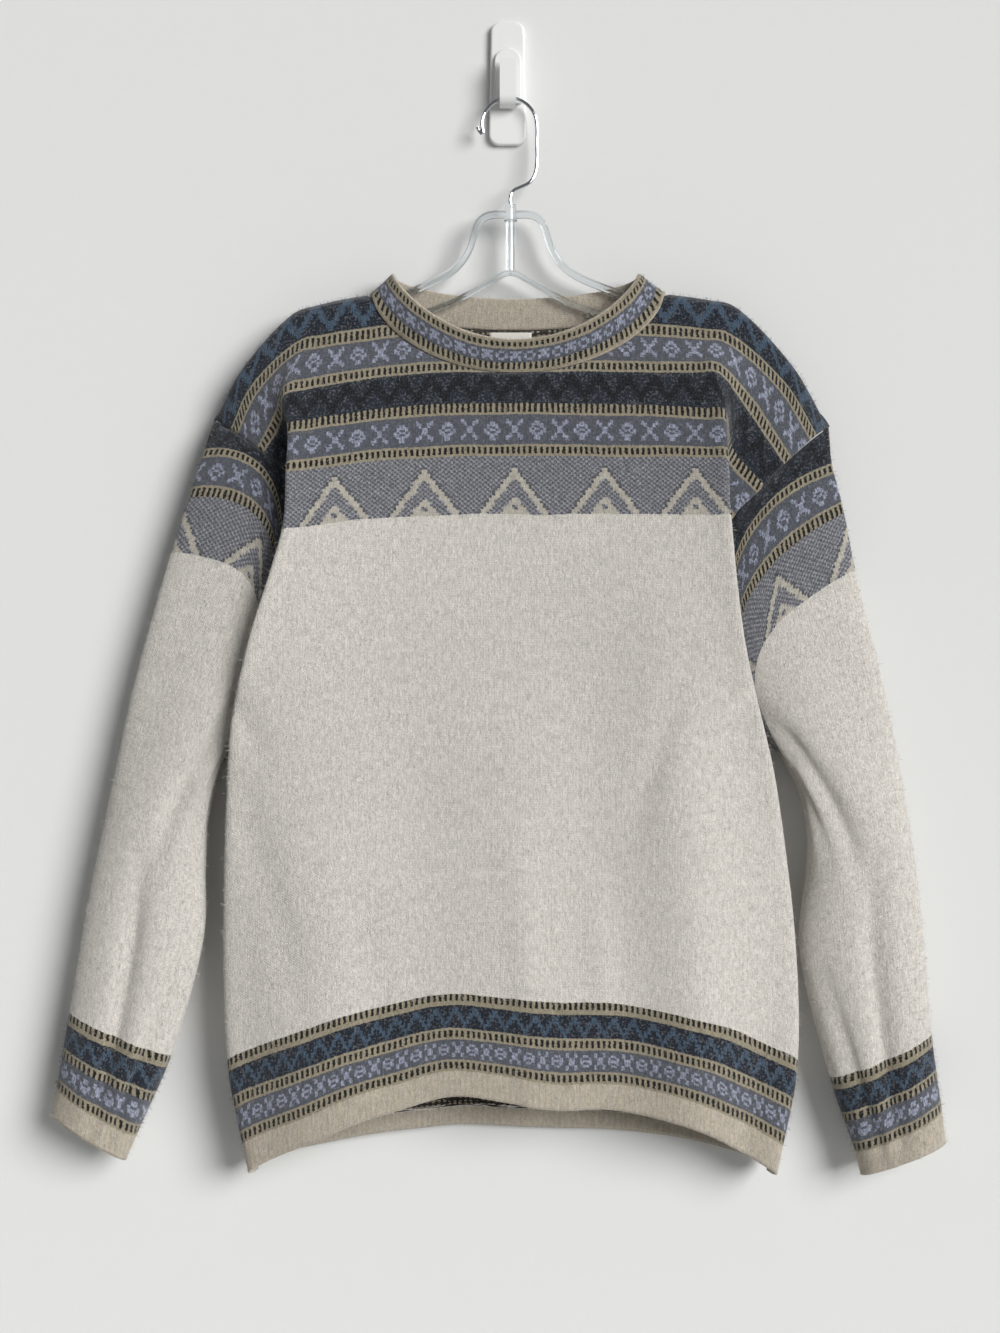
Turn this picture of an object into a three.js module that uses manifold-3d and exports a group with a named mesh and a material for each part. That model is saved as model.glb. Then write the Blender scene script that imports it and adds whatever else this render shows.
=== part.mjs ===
// A fair isle jumper of felted wool hanging on a clear plastic hanger, whose wire hook sits in a
// small white wall hook. Millimetres, +X to the right, +Z up, the wall behind the part at y = 0.
// The origin is the middle of the wall plate's flat back.

import * as THREE from "three";
import { mergeVertices } from "three/addons/utils/BufferGeometryUtils.js";
import Module from "manifold-3d";

// ---------------------------------------------------------------- driving dimensions
const CLOTH = 1.8; // wall of the felted knit
const BAND_CLOTH = 3.6; // the neckband is the knit folded double
const SEAM_GAP = 0.36; // between two pieces at a seam

const FRONT_LENGTH = 613; // cloth from the shoulder seam to the hem
const BACK_LENGTH = 640;
const ARMHOLE = 250; // cloth from the shoulder seam to the underarm
const SLEEVE_LENGTH = 545; // cloth from the armhole seam to the cuff edge

const MIDDLE_X = 5; // the jumper hangs a little to the right of the hook
const FRONT_NECK_DROP = 69;
const BACK_NECK_DROP = 33;
const NECK_SHARE = 0.4; // half the neck's width, as a share of half a panel's width
const NECK_ROUNDNESS = 0.8;

const ARMHOLE_SPREAD = 6; // half of the armhole's opening from front to back
const SHOULDER_ROUND = 9; // cloth that goes round over the hanger's arms
const SHOULDER_LIFT = 2.2;
const SHOULDER_LIFT_REACH = 1.5; // of SHOULDER_ROUND

const HANGER_Y = -18; // middle plane of the hanger
const HANGER_DEPTH = 5;
const HANGER_BELOW_SEAM = 8.5; // the arms' top edge below the shoulder seam
const HANGER_X = 2;

const WIRE = 2.8;
const WIRE_TOP_Y = -13;

// Facets: columns across a panel and rows down it, shared with the pieces that meet it.
const NECK_COLUMNS = 16;
const SHOULDER_COLUMNS = { front: 10, back: 7 };
const ARMHOLE_ROWS = 12;
const BODY_ROWS = 13;
const SLEEVE_ROWS = 14;

// ---------------------------------------------------------------- tables
// A table is a list of column names and rows; the first column is the key that it is read by.
function table(columns, ...rows) {
  return { columns, rows };
}

// Where the two panels and the sleeve of one side meet: the armhole down to the underarm, then
// the side seam. "down" is the cloth's own distance from the shoulder seam.
const SEAM_COLUMNS = ["down", "x", "y", "z"];
const LEFT_SEAM = table(
  SEAM_COLUMNS,
  [0, -222, -20, -262],
  [33, -207, -25, -270],
  [63, -187, -28, -284],
  [97, -168, -29, -300],
  [130, -155, -29, -322],
  [176, -150, -28, -372],
  [215, -163, -27, -432],
  [250, -190, -26, -492],
  [350, -202, -23, -588],
  [450, -206, -22, -676],
  [538, -203, -22, -755],
  [613, -190, -22, -827],
);
const RIGHT_SEAM = table(
  SEAM_COLUMNS,
  [0, 243, -20, -266],
  [33, 231, -25, -274],
  [63, 211, -28, -292],
  [97, 190, -29, -314],
  [130, 168, -29, -338],
  [176, 156, -28, -390],
  [215, 168, -27, -444],
  [250, 191, -26, -498],
  [350, 201, -23, -590],
  [450, 208, -22, -677],
  [538, 209, -22, -756],
  [613, 197, -22, -828],
);

// How a panel's edge hangs: "fold" is the crease that hangs from the end of the hanger's arm and
// makes the outline lower down, and "tuck" is the cloth drawn in behind it towards the seam.
const EDGE_COLUMNS = ["down", "foldX", "foldY", "foldZ", "tuckX", "tuckY", "tuckZ"];
const FRONT_LEFT = table(
  EDGE_COLUMNS,
  [0, -162, -28, -179, -204, -28, -226],
  [33, -156, -33, -206, -191, -31, -238],
  [63, -167, -44, -240, -173, -36, -260],
  [97, -164, -51, -271, -153, -36, -288],
  [130, -165, -55, -301, -144, -35, -316],
  [176, -168, -56, -345, -139, -34, -362],
  [250, -193, -55, -430, -176, -38, -462],
  [300, -205, -51, -484, -191, -37, -512],
  [350, -209, -47, -540, -203, -33, -560],
  [450, -212, -42, -652, -210, -31, -662],
  [538, -209, -41, -745, -207, -30, -752],
  [613, -194, -39, -825, -193, -29, -828],
);
const FRONT_RIGHT = table(
  EDGE_COLUMNS,
  [0, 170, -28, -173, 215, -28, -219],
  [33, 163, -33, -199, 205, -31, -234],
  [63, 156, -44, -223, 182, -35, -250],
  [97, 161, -51, -260, 167, -36, -288],
  [130, 163, -55, -290, 153, -35, -318],
  [176, 165, -56, -334, 145, -34, -364],
  [250, 174, -55, -421, 168, -38, -460],
  [300, 186, -52, -476, 181, -37, -510],
  [350, 199, -48, -533, 195, -34, -556],
  [450, 214, -42, -647, 211, -31, -660],
  [538, 216, -41, -746, 213, -30, -753],
  [613, 201, -39, -827, 200, -29, -829],
);
const BACK_LEFT = table(
  EDGE_COLUMNS,
  [0, -162, -8, -179, -204, -8, -226],
  [33, -160, -9, -207, -194, -13, -242],
  [63, -170, -7, -243, -181, -17, -266],
  [130, -166, -6, -305, -146, -18, -316],
  [176, -168, -6, -350, -140, -18, -364],
  [250, -184, -6, -430, -170, -17, -456],
  [350, -202, -8, -545, -203, -14, -562],
  [450, -207, -9, -648, -208, -15, -660],
  [560, -204, -9, -752, -206, -15, -762],
  [640, -192, -9, -823, -193, -15, -827],
);
const BACK_RIGHT = table(
  EDGE_COLUMNS,
  [0, 170, -8, -173, 215, -8, -219],
  [33, 166, -9, -202, 206, -13, -240],
  [63, 166, -7, -230, 190, -17, -262],
  [130, 166, -6, -298, 154, -18, -322],
  [176, 168, -6, -342, 146, -18, -370],
  [250, 176, -6, -424, 168, -17, -456],
  [350, 198, -8, -538, 199, -14, -560],
  [450, 209, -9, -644, 209, -15, -660],
  [560, 210, -9, -754, 211, -15, -763],
  [640, 198, -9, -824, 199, -15, -828],
);

// A panel's middle, and how late its rows start to fall towards the folds.
const MIDDLE_COLUMNS = ["down", "y", "z", "bow"];
const FRONT_MIDDLE = table(
  MIDDLE_COLUMNS,
  [0, -28, -162, 3.8],
  [33, -31, -192, 3.0],
  [63, -37, -221, 2.7],
  [130, -45, -287, 2.4],
  [250, -51, -407, 2.4],
  [400, -56, -558, 2.4],
  [538, -58, -696, 2.4],
  [613, -57, -770, 2.4],
);
const BACK_MIDDLE = table(
  MIDDLE_COLUMNS,
  [0, -8, -162, 3.8],
  [33, -9, -191, 3.0],
  [63, -7, -221, 2.7],
  [130, -6, -288, 2.4],
  [250, -5, -407, 2.4],
  [400, -6, -557, 2.4],
  [560, -7, -717, 2.4],
  [640, -8, -797, 2.4],
);

// The sleeves' rings: the top fold, the middle of the front and of the back, and the underside.
const RING_COLUMNS = [
  "along", "topX", "topZ", "midX", "midZ", "underX", "underZ", "frontY", "sideY", "backY",
];
const LEFT_RINGS = table(
  RING_COLUMNS,
  [33, -230, -287, -172, -332, -198, -503, -34, -27, -17],
  [66, -240, -318, -175, -360, -207, -511, -36, -27, -15],
  [110, -254, -361, -187, -399, -216, -522, -38, -27, -13],
  [210, -281, -457, -228, -492, -226, -556, -43, -27, -12],
  [300, -300, -545, -258, -566, -228, -600, -46, -27, -11],
  [380, -316, -622, -272, -638, -230, -655, -46, -27, -10],
  [460, -330, -705, -291, -722, -253, -738, -46, -27, -10],
  [520, -340, -763, -309, -782, -279, -798, -44, -27, -12],
  [545, -344, -784, -316, -801, -288, -819, -43, -27, -13],
);
const RIGHT_RINGS = table(
  RING_COLUMNS,
  [33, 245, -298, 170, -374, 199, -508, -34, -27, -17],
  [66, 253, -329, 175, -408, 208, -515, -37, -27, -15],
  [110, 262, -374, 187, -440, 216, -525, -39, -27, -13],
  [210, 285, -470, 224, -500, 226, -557, -44, -27, -12],
  [300, 301, -556, 258, -576, 225, -602, -46, -27, -11],
  [380, 312, -637, 266, -650, 220, -662, -46, -27, -10],
  [460, 319, -721, 281, -740, 242, -754, -46, -27, -10],
  [520, 327, -781, 294, -798, 261, -811, -44, -27, -12],
  [545, 330, -806, 298, -818, 266, -830, -43, -27, -13],
);

// The largest soft folds: a trough (or with a negative depth a ridge) that runs from one place on
// the panel to another. "across" is a share of half the panel's width, "down" is cloth.
const FOLD_COLUMNS = ["fromAcross", "fromDown", "toAcross", "toDown", "wide", "deep"];
const FRONT_FOLDS = table(
  FOLD_COLUMNS,
  [-0.62, 140, -0.7, 780, 0.22, -6],
  [-0.24, 220, -0.3, 780, 0.16, 3],
  [0.12, 200, 0.4, 780, 0.13, 3],
  [0.4, 180, 0.68, 780, 0.13, -8],
  [0, 380, 0.03, 780, 0.06, -4],
);
const BACK_FOLDS = table(
  FOLD_COLUMNS,
  [0.66, 200, 0.45, 560, 0.1, 4],
  [-0.7, 210, -0.48, 600, 0.1, 4],
  [-0.1, 330, 0.05, 660, 0.14, 3],
);

// The shoulder seam from the neck out to the end of the hanger's arm, which carries it.
const ARM_COLUMNS = ["out", "leftX", "leftZ", "rightX", "rightZ"];
const SHOULDER_LINE = table(
  ARM_COLUMNS,
  [0, -106, -164, 118, -162.5],
  [20, -126, -166, 139, -165],
  [40, -145, -171.5, 159, -169.5],
  [60, -162, -180, 177, -178],
  [80, -180, -193, 193, -190.5],
  [100, -193, -208, 206, -205],
  [120, -203, -225, 217, -221],
);

// ---------------------------------------------------------------- reading a table smoothly
function slope(rows, k, column) {
  const before = rows[Math.max(k - 1, 0)];
  const after = rows[Math.min(k + 1, rows.length - 1)];
  return (after[column] - before[column]) / (after[0] - before[0]);
}

function read({ columns, rows }, key) {
  let k = 0;
  while (k < rows.length - 2 && rows[k + 1][0] < key) k++;
  const step = rows[k + 1][0] - rows[k][0];
  const t = THREE.MathUtils.clamp((key - rows[k][0]) / step, 0, 1);
  const result = {};
  columns.forEach((name, column) => {
    const from = rows[k][column];
    const to = rows[k + 1][column];
    result[name] = hermite(
      from, slope(rows, k, column) * step, to, slope(rows, k + 1, column) * step, t,
    );
  });
  return result;
}

function hermite(from, leave, to, arrive, t) {
  const t2 = t * t;
  const t3 = t2 * t;
  return (
    (2 * t3 - 3 * t2 + 1) * from + (t3 - 2 * t2 + t) * leave + (3 * t2 - 2 * t3) * to + (t3 - t2) * arrive
  );
}

const vector = (x, y, z) => new THREE.Vector3(x, y, z);

// ---------------------------------------------------------------- the panels' surface
const SIDES = {
  left: { sign: -1, seam: LEFT_SEAM, rings: LEFT_RINGS },
  right: { sign: 1, seam: RIGHT_SEAM, rings: RIGHT_RINGS },
};
const PANELS = {
  front: {
    length: FRONT_LENGTH, outward: -1, middle: FRONT_MIDDLE, folds: FRONT_FOLDS,
    left: FRONT_LEFT, right: FRONT_RIGHT, neckDrop: FRONT_NECK_DROP,
  },
  back: {
    length: BACK_LENGTH, outward: 1, middle: BACK_MIDDLE, folds: BACK_FOLDS,
    left: BACK_LEFT, right: BACK_RIGHT, neckDrop: BACK_NECK_DROP,
  },
};

// The seams are shared: a longer panel's side is eased onto the same line below the underarm.
function seamPoint(side, panel, down) {
  const share = (down - ARMHOLE) / (panel.length - ARMHOLE);
  const key = down <= ARMHOLE ? down : ARMHOLE + share * (FRONT_LENGTH - ARMHOLE);
  return armholePoint(side, key, panel.outward);
}

// The armhole is open between its front and back edges, which meet at the shoulder and underarm.
function armholePoint(side, down, outward) {
  const seam = read(side.seam, down);
  const spread = outward * ARMHOLE_SPREAD * Math.sin((Math.PI * Math.min(down, ARMHOLE)) / ARMHOLE);
  return vector(seam.x, seam.y + spread, seam.z);
}

const ROW_SHARES = [0, 0.25, 0.5, 0.72, 0.9]; // of the way from the middle to the fold
const ROW_DEPTH_BOW = 3; // how late a row turns back towards the wall

// One knitted row from the panel's middle out to a side seam.
function halfRow(panel, sideName, down) {
  const side = SIDES[sideName];
  const middle = read(panel.middle, down);
  const edge = read(panel[sideName], down);
  const points = ROW_SHARES.map((share) =>
    vector(
      THREE.MathUtils.lerp(MIDDLE_X, edge.foldX, share),
      THREE.MathUtils.lerp(middle.y, edge.foldY, share ** ROW_DEPTH_BOW),
      THREE.MathUtils.lerp(middle.z, edge.foldZ, share ** middle.bow),
    ),
  );
  points.push(vector(edge.foldX, edge.foldY, edge.foldZ));
  points.push(vector(edge.tuckX, edge.tuckY, edge.tuckZ));
  points.push(seamPoint(side, panel, down));
  return new THREE.CatmullRomCurve3(points, false, "centripetal");
}

const FOLD_RISE = 0.35; // the share of its length in which a fold comes up at each end

// How far the soft folds push the panel inwards at a place on it.
function foldDepth(folds, across, down) {
  return folds.rows.reduce((sum, row) => {
    const [fromAcross, fromDown, toAcross, toDown, wide, deep] = row;
    const t = (down - fromDown) / (toDown - fromDown);
    if (t <= 0 || t >= 1) return sum;
    const line = THREE.MathUtils.lerp(fromAcross, toAcross, t);
    const reach = Math.min(1, t / FOLD_RISE, (1 - t) / FOLD_RISE);
    return sum + deep * reach * Math.exp(-(((across - line) / wide) ** 2));
  }, 0);
}

function panelPoint(panel, across, down) {
  const row = halfRow(panel, across < 0 ? "left" : "right", down);
  const point = row.getPointAt(Math.min(Math.abs(across), 1));
  const round = Math.sin((Math.PI / 2) * Math.min(down / SHOULDER_ROUND, 1));
  const sink = foldDepth(panel.folds, across, down) * (1 - across ** 6);
  point.y = THREE.MathUtils.lerp(HANGER_Y, point.y, round) - panel.outward * sink;
  point.z += SHOULDER_LIFT * Math.sin(Math.PI * Math.min(down / (SHOULDER_LIFT_REACH * SHOULDER_ROUND), 1));
  return point;
}

// The cloth's distance down to the neck edge at a column, 0 outside the neck.
function neckDrop(panel, across) {
  const share = Math.abs(across) / NECK_SHARE;
  return share >= 1 ? 0 : panel.neckDrop * (1 - share * share) ** (NECK_ROUNDNESS / 2);
}

function panelColumns(shoulderColumns) {
  const columns = [];
  for (let i = 0; i <= shoulderColumns; i++)
    columns.push(-1 + ((1 - NECK_SHARE) * i) / shoulderColumns);
  for (let i = 1; i < NECK_COLUMNS; i++)
    columns.push(NECK_SHARE * Math.sin(Math.PI * (i / NECK_COLUMNS - 0.5)));
  for (let i = 0; i <= shoulderColumns; i++)
    columns.push(NECK_SHARE + ((1 - NECK_SHARE) * i) / shoulderColumns);
  return columns;
}

function rowDown(panel, across, row) {
  const top = neckDrop(panel, across);
  if (row <= ARMHOLE_ROWS) return THREE.MathUtils.lerp(top, ARMHOLE, row / ARMHOLE_ROWS);
  return THREE.MathUtils.lerp(ARMHOLE, panel.length, (row - ARMHOLE_ROWS) / BODY_ROWS);
}

// ---------------------------------------------------------------- which way a seam's wall faces
// Both pieces at a seam take their thickness along the same direction, so their ends lie face to
// face with only the seam's gap between them.
const FACING = {
  sideTop: 0.5, sideGain: 0.2, up: 0.87, turnBelow: 40, shoulderOut: 0.6, shoulderUp: 0.35,
  neckSide: 0.3, neckLow: 0.15, neckHigh: 0.85,
};

function sideSeamFacing(sign, outward, down) {
  const turn = (Math.PI * Math.min(down, ARMHOLE)) / ARMHOLE;
  const facing = vector(
    sign * (FACING.sideTop + (FACING.sideGain * turn) / Math.PI) * Math.abs(Math.cos(turn)),
    outward * Math.sin(turn),
    FACING.up * Math.cos(turn),
  ).normalize();
  const below = THREE.MathUtils.clamp((down - ARMHOLE) / FACING.turnBelow, 0, 1);
  return facing.lerp(vector(sign, 0, 0), below).normalize();
}

function shoulderFacing(across) {
  const out = THREE.MathUtils.clamp((Math.abs(across) - NECK_SHARE) / (1 - NECK_SHARE), 0, 1);
  return vector(
    Math.sign(across) * FACING.shoulderOut * out, 0, 1 - FACING.shoulderUp * out,
  ).normalize();
}

function neckFacing(turn, outward) {
  const up = Math.abs(Math.sin(turn));
  return vector(
    FACING.neckSide * Math.sin(turn), outward * Math.cos(turn), FACING.neckLow + FACING.neckHigh * up,
  ).normalize();
}

// ---------------------------------------------------------------- closed walls from a grid
// grid[j][i] is the outside of the cloth and facings[j][i] the way that its wall faces there. A
// tube's rows close on themselves.
function gridNormal(grid, j, i, closed) {
  const row = grid[j];
  const count = row.length;
  const left = closed ? row[(i + count - 1) % count] : row[Math.max(i - 1, 0)];
  const right = closed ? row[(i + 1) % count] : row[Math.min(i + 1, count - 1)];
  const up = grid[Math.max(j - 1, 0)][i];
  const down = grid[Math.min(j + 1, grid.length - 1)][i];
  return right.clone().sub(left).cross(down.clone().sub(up)).normalize();
}

function wall(grid, facings, outside, thickness, closed = false) {
  const rows = grid.length;
  const columns = grid[0].length;
  const positions = [];
  const index = [];
  const layers = [outside, outside - thickness];
  layers.forEach((offset) =>
    grid.forEach((row, j) =>
      row.forEach((point, i) => {
        positions.push(...point.clone().addScaledVector(facings[j][i], offset).toArray());
      }),
    ),
  );
  const id = (layer, j, i) => layer * rows * columns + j * columns + (i % columns);
  const quad = (a, b, c, d) => index.push(a, b, c, a, c, d);
  const across = closed ? columns : columns - 1;
  for (let j = 0; j < rows - 1; j++)
    for (let i = 0; i < across; i++) {
      quad(id(0, j, i), id(0, j, i + 1), id(0, j + 1, i + 1), id(0, j + 1, i));
      quad(id(1, j, i), id(1, j + 1, i), id(1, j + 1, i + 1), id(1, j, i + 1));
    }
  for (let i = 0; i < across; i++) {
    quad(id(0, 0, i), id(1, 0, i), id(1, 0, i + 1), id(0, 0, i + 1));
    quad(id(0, rows - 1, i + 1), id(1, rows - 1, i + 1), id(1, rows - 1, i), id(0, rows - 1, i));
  }
  if (!closed)
    for (let j = 0; j < rows - 1; j++) {
      quad(id(0, j + 1, 0), id(1, j + 1, 0), id(1, j, 0), id(0, j, 0));
      const end = columns - 1;
      quad(id(0, j, end), id(1, j, end), id(1, j + 1, end), id(0, j + 1, end));
    }
  return outwardGeometry(positions, index);
}

function outwardGeometry(positions, index) {
  let volume = 0;
  const corner = (k) => vector(...positions.slice(3 * index[k], 3 * index[k] + 3));
  for (let k = 0; k < index.length; k += 3)
    volume += corner(k).dot(corner(k + 1).cross(corner(k + 2)));
  if (volume < 0) index.reverse();
  const geometry = new THREE.BufferGeometry();
  geometry.setAttribute("position", new THREE.Float32BufferAttribute(positions, 3));
  geometry.setIndex(index);
  return geometry;
}

// ---------------------------------------------------------------- front and back
function pull(point, towards, distance) {
  point.addScaledVector(towards.clone().sub(point).normalize(), distance);
}

// Normals of a grid, turned so that they point to the outside of the garment.
function outsideNormals(grid, facings, closed, outwards) {
  grid.forEach((row, j) =>
    row.forEach((point, i) => {
      facings[j][i] ??= gridNormal(grid, j, i, closed).multiplyScalar(outwards);
    }),
  );
}

function seamFacing(panel, across, down, row, isSide) {
  if (isSide) return sideSeamFacing(Math.sign(across), panel.outward, down);
  if (row > 0) return undefined;
  if (Math.abs(across) >= NECK_SHARE) return shoulderFacing(across);
  return neckFacing((Math.PI / 2) * (across / NECK_SHARE), panel.outward);
}

function panelGrid(name) {
  const panel = PANELS[name];
  const columns = panelColumns(SHOULDER_COLUMNS[name]);
  const grid = [];
  const facings = [];
  for (let j = 0; j <= ARMHOLE_ROWS + BODY_ROWS; j++) {
    const downs = columns.map((across) => rowDown(panel, across, j));
    grid.push(columns.map((across, i) => panelPoint(panel, across, downs[i])));
    facings.push(
      columns.map((across, i) => seamFacing(panel, across, downs[i], j, Math.abs(across) === 1)),
    );
  }
  return { grid, facings, panel };
}

function panelGeometry(name) {
  const { grid, facings, panel } = panelGrid(name);
  const last = grid[0].length - 1;
  outsideNormals(grid, facings, false, -panel.outward);
  // Every seam edge is drawn back by half of the gap, along the cloth.
  grid[0].forEach((point, i) => pull(point, grid[1][i], SEAM_GAP / 2));
  grid.forEach((row) => {
    pull(row[0], row[1], SEAM_GAP / 2);
    pull(row[last], row[last - 1], SEAM_GAP / 2);
  });
  return wall(grid, facings, 0, CLOTH);
}

// ---------------------------------------------------------------- sleeves
const SLEEVE_START = 0.7; // a little more than the seam's gap, since the wall turns here
const SLEEVE_CROWDING = 1.2; // rings lie closer together near the armhole
const RING_FULLNESS = 0.82; // of a ring's quarters: 0.83 would be an ellipse

function quarter(before, from, to, after, t) {
  const leave = to.clone().sub(before).multiplyScalar(RING_FULLNESS);
  const arrive = after.clone().sub(from).multiplyScalar(RING_FULLNESS);
  return vector(
    ...["x", "y", "z"].map((axis) => hermite(from[axis], leave[axis], to[axis], arrive[axis], t)),
  );
}

// A ring's point: turn runs 0 at the top, 0.5 at the underside and back to 1, front half first.
function ringPoint(ring, turn) {
  const stations = [
    vector(ring.topX, ring.sideY, ring.topZ),
    vector(ring.midX, ring.frontY, ring.midZ),
    vector(ring.underX, ring.sideY, ring.underZ),
    vector(ring.midX, ring.backY, ring.midZ),
  ];
  const k = Math.floor(turn * 4) % 4;
  const at = (n) => stations[(n + 4) % 4];
  return quarter(at(k - 1), at(k), at(k + 1), at(k + 2), turn * 4 - k);
}

// The sleeve's first ring is the armhole itself, evened out onto the hanger's plane at the top.
function ringStart(side, turn) {
  const down = ARMHOLE * (turn <= 0.5 ? 2 * turn : 2 - 2 * turn);
  const panel = turn <= 0.5 ? PANELS.front : PANELS.back;
  return panelPoint(panel, side.sign, down);
}

function sleevePoint(side, turn, along) {
  const first = side.rings.rows[0][0];
  if (along >= first) return ringPoint(read(side.rings, along), turn);
  const from = ringStart(side, turn);
  const to = ringPoint(read(side.rings, first), turn);
  const beyond = ringPoint(read(side.rings, 2 * first), turn);
  const arrive = beyond.clone().sub(from).multiplyScalar(0.5);
  const leave = to.clone().sub(from).multiplyScalar(2).sub(arrive);
  const t = along / first;
  return vector(
    ...["x", "y", "z"].map((axis) => hermite(from[axis], leave[axis], to[axis], arrive[axis], t)),
  );
}

function sleeveGeometry(sideName) {
  const side = SIDES[sideName];
  const around = 2 * ARMHOLE_ROWS;
  const grid = [];
  const facings = [];
  for (let j = 0; j <= SLEEVE_ROWS; j++) {
    const along = SLEEVE_START + (SLEEVE_LENGTH - SLEEVE_START) * (j / SLEEVE_ROWS) ** SLEEVE_CROWDING;
    grid.push([]);
    facings.push([]);
    for (let i = 0; i < around; i++) {
      const turn = i / around;
      const down = ARMHOLE * (turn <= 0.5 ? 2 * turn : 2 - 2 * turn);
      const outward = i === 0 || i === ARMHOLE_ROWS ? 0 : turn < 0.5 ? -1 : 1;
      grid[j].push(sleevePoint(side, turn, along));
      facings[j].push(j === 0 ? sideSeamFacing(side.sign, outward, down) : undefined);
    }
  }
  outsideNormals(grid, facings, true, side.sign);
  return wall(grid, facings, 0, CLOTH, true);
}

// ---------------------------------------------------------------- neckband and label
const BAND = {
  topHalfWidth: 92, middleX: 6, sideZ: -151, frontDip: 51, backDip: 16, ahead: 22, behind: 6.5,
  frontDipCurve: 1.54, backDipCurve: 1.3, aheadCurve: 0.35, behindCurve: 0.2,
};
const BAND_LEVELS = 4;

// The band's top edge at a turn: 0 at the middle of the front, a quarter turn at the right.
function bandTop(turn) {
  const ahead = Math.cos(turn);
  const dip = ahead > 0
    ? BAND.frontDip * ahead ** BAND.frontDipCurve
    : BAND.backDip * (-ahead) ** BAND.backDipCurve;
  const forward = ahead > 0
    ? BAND.ahead * ahead ** BAND.aheadCurve
    : -BAND.behind * (-ahead) ** BAND.behindCurve;
  const y = HANGER_Y - forward;
  return vector(BAND.middleX + BAND.topHalfWidth * Math.sin(turn), y, BAND.sideZ - dip);
}

function neckbandGeometry() {
  const loop = [];
  for (let i = 0; i < 2 * NECK_COLUMNS; i++) {
    const turn = Math.PI * (i / NECK_COLUMNS - 0.5);
    const panel = i < NECK_COLUMNS ? PANELS.front : PANELS.back;
    const across = NECK_SHARE * Math.sin(turn);
    const drop = i % NECK_COLUMNS === 0 ? 0 : neckDrop(panel, across);
    const facing = neckFacing(
      i < NECK_COLUMNS ? turn : Math.PI - turn,
      i % NECK_COLUMNS === 0 ? 0 : panel.outward,
    );
    const foot = panelPoint(panel, across, drop).addScaledVector(facing, -CLOTH / 2);
    loop.push({ turn, foot, facing, top: bandTop(turn) });
  }
  const grid = [];
  const facings = [];
  for (let j = 0; j <= BAND_LEVELS; j++) {
    grid.push(
      loop.map(({ foot, top }) => {
        const point = foot.clone().lerp(top, j / BAND_LEVELS);
        if (j === 0) pull(point, top, SEAM_GAP);
        return point;
      }),
    );
    facings.push(loop.map(({ facing }) => (j === 0 ? facing : undefined)));
  }
  outsideNormals(grid, facings, true, 1);
  return wall(grid, facings, BAND_CLOTH / 2, BAND_CLOTH, true);
}

const LABEL = { width: 32, height: 30, thick: 1, middleX: 2, topZ: -193, y: -13.6 };

function labelGeometry() {
  const geometry = new THREE.BoxGeometry(LABEL.width, LABEL.thick, LABEL.height);
  return geometry.translate(LABEL.middleX, LABEL.y, LABEL.topZ - LABEL.height / 2);
}

// ---------------------------------------------------------------- joining with manifold-3d
const wasm = await Module();
wasm.setup();

function solid(geometry) {
  geometry.deleteAttribute("normal");
  geometry.deleteAttribute("uv");
  const merged = mergeVertices(geometry, 1e-3);
  return new wasm.Manifold(
    new wasm.Mesh({
      numProp: 3,
      vertProperties: merged.attributes.position.array,
      triVerts: new Uint32Array(merged.index.array),
    }),
  );
}

function join(geometries) {
  const mesh = geometries.map(solid).reduce((all, next) => all.add(next)).getMesh();
  const geometry = new THREE.BufferGeometry();
  geometry.setAttribute("position", new THREE.BufferAttribute(mesh.vertProperties, 3));
  geometry.setIndex(new THREE.BufferAttribute(mesh.triVerts, 1));
  return geometry;
}

// ---------------------------------------------------------------- hanger
// A flat moulding: each bar is a strip of even width along a line in the XZ plane, given depth.
const HANGER_BAR = 5.5;
const HANGER_BEVEL = 1;

function bar(points, width) {
  const line = new THREE.CatmullRomCurve3(points.map(([x, z]) => vector(x, z, 0)), false, "centripetal");
  const steps = 3 * (points.length - 1);
  const sides = { upper: [], lower: [] };
  for (let i = 0; i <= steps; i++) {
    const at = line.getPoint(i / steps);
    const along = line.getTangent(i / steps);
    const across = vector(-along.y, along.x, 0).multiplyScalar(width / 2 - HANGER_BEVEL);
    sides.upper.push(at.clone().add(across));
    sides.lower.unshift(at.clone().sub(across));
  }
  const shape = new THREE.Shape([...sides.upper, ...sides.lower].map((p) => new THREE.Vector2(p.x, p.y)));
  const depth = HANGER_DEPTH - 2 * HANGER_BEVEL;
  const geometry = new THREE.ExtrudeGeometry(shape, {
    depth, bevelThickness: HANGER_BEVEL, bevelSize: HANGER_BEVEL, bevelSegments: 1,
  });
  return geometry.translate(0, 0, -depth / 2).rotateX(Math.PI / 2).translate(0, HANGER_Y, 0);
}

// The neck arch, half of it, from the middle outwards; z on the bar's centre line.
const ARCH = [[0, -104.5], [17, -105], [24, -110], [27.5, -119], [32, -132], [41, -144.5], [56, -154]];

const POST = { radius: 3.4, height: 46, middleZ: -124 };
const BOSS = { topRadius: 4.2, footRadius: 5.2, height: 12, middleZ: -103 };

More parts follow.
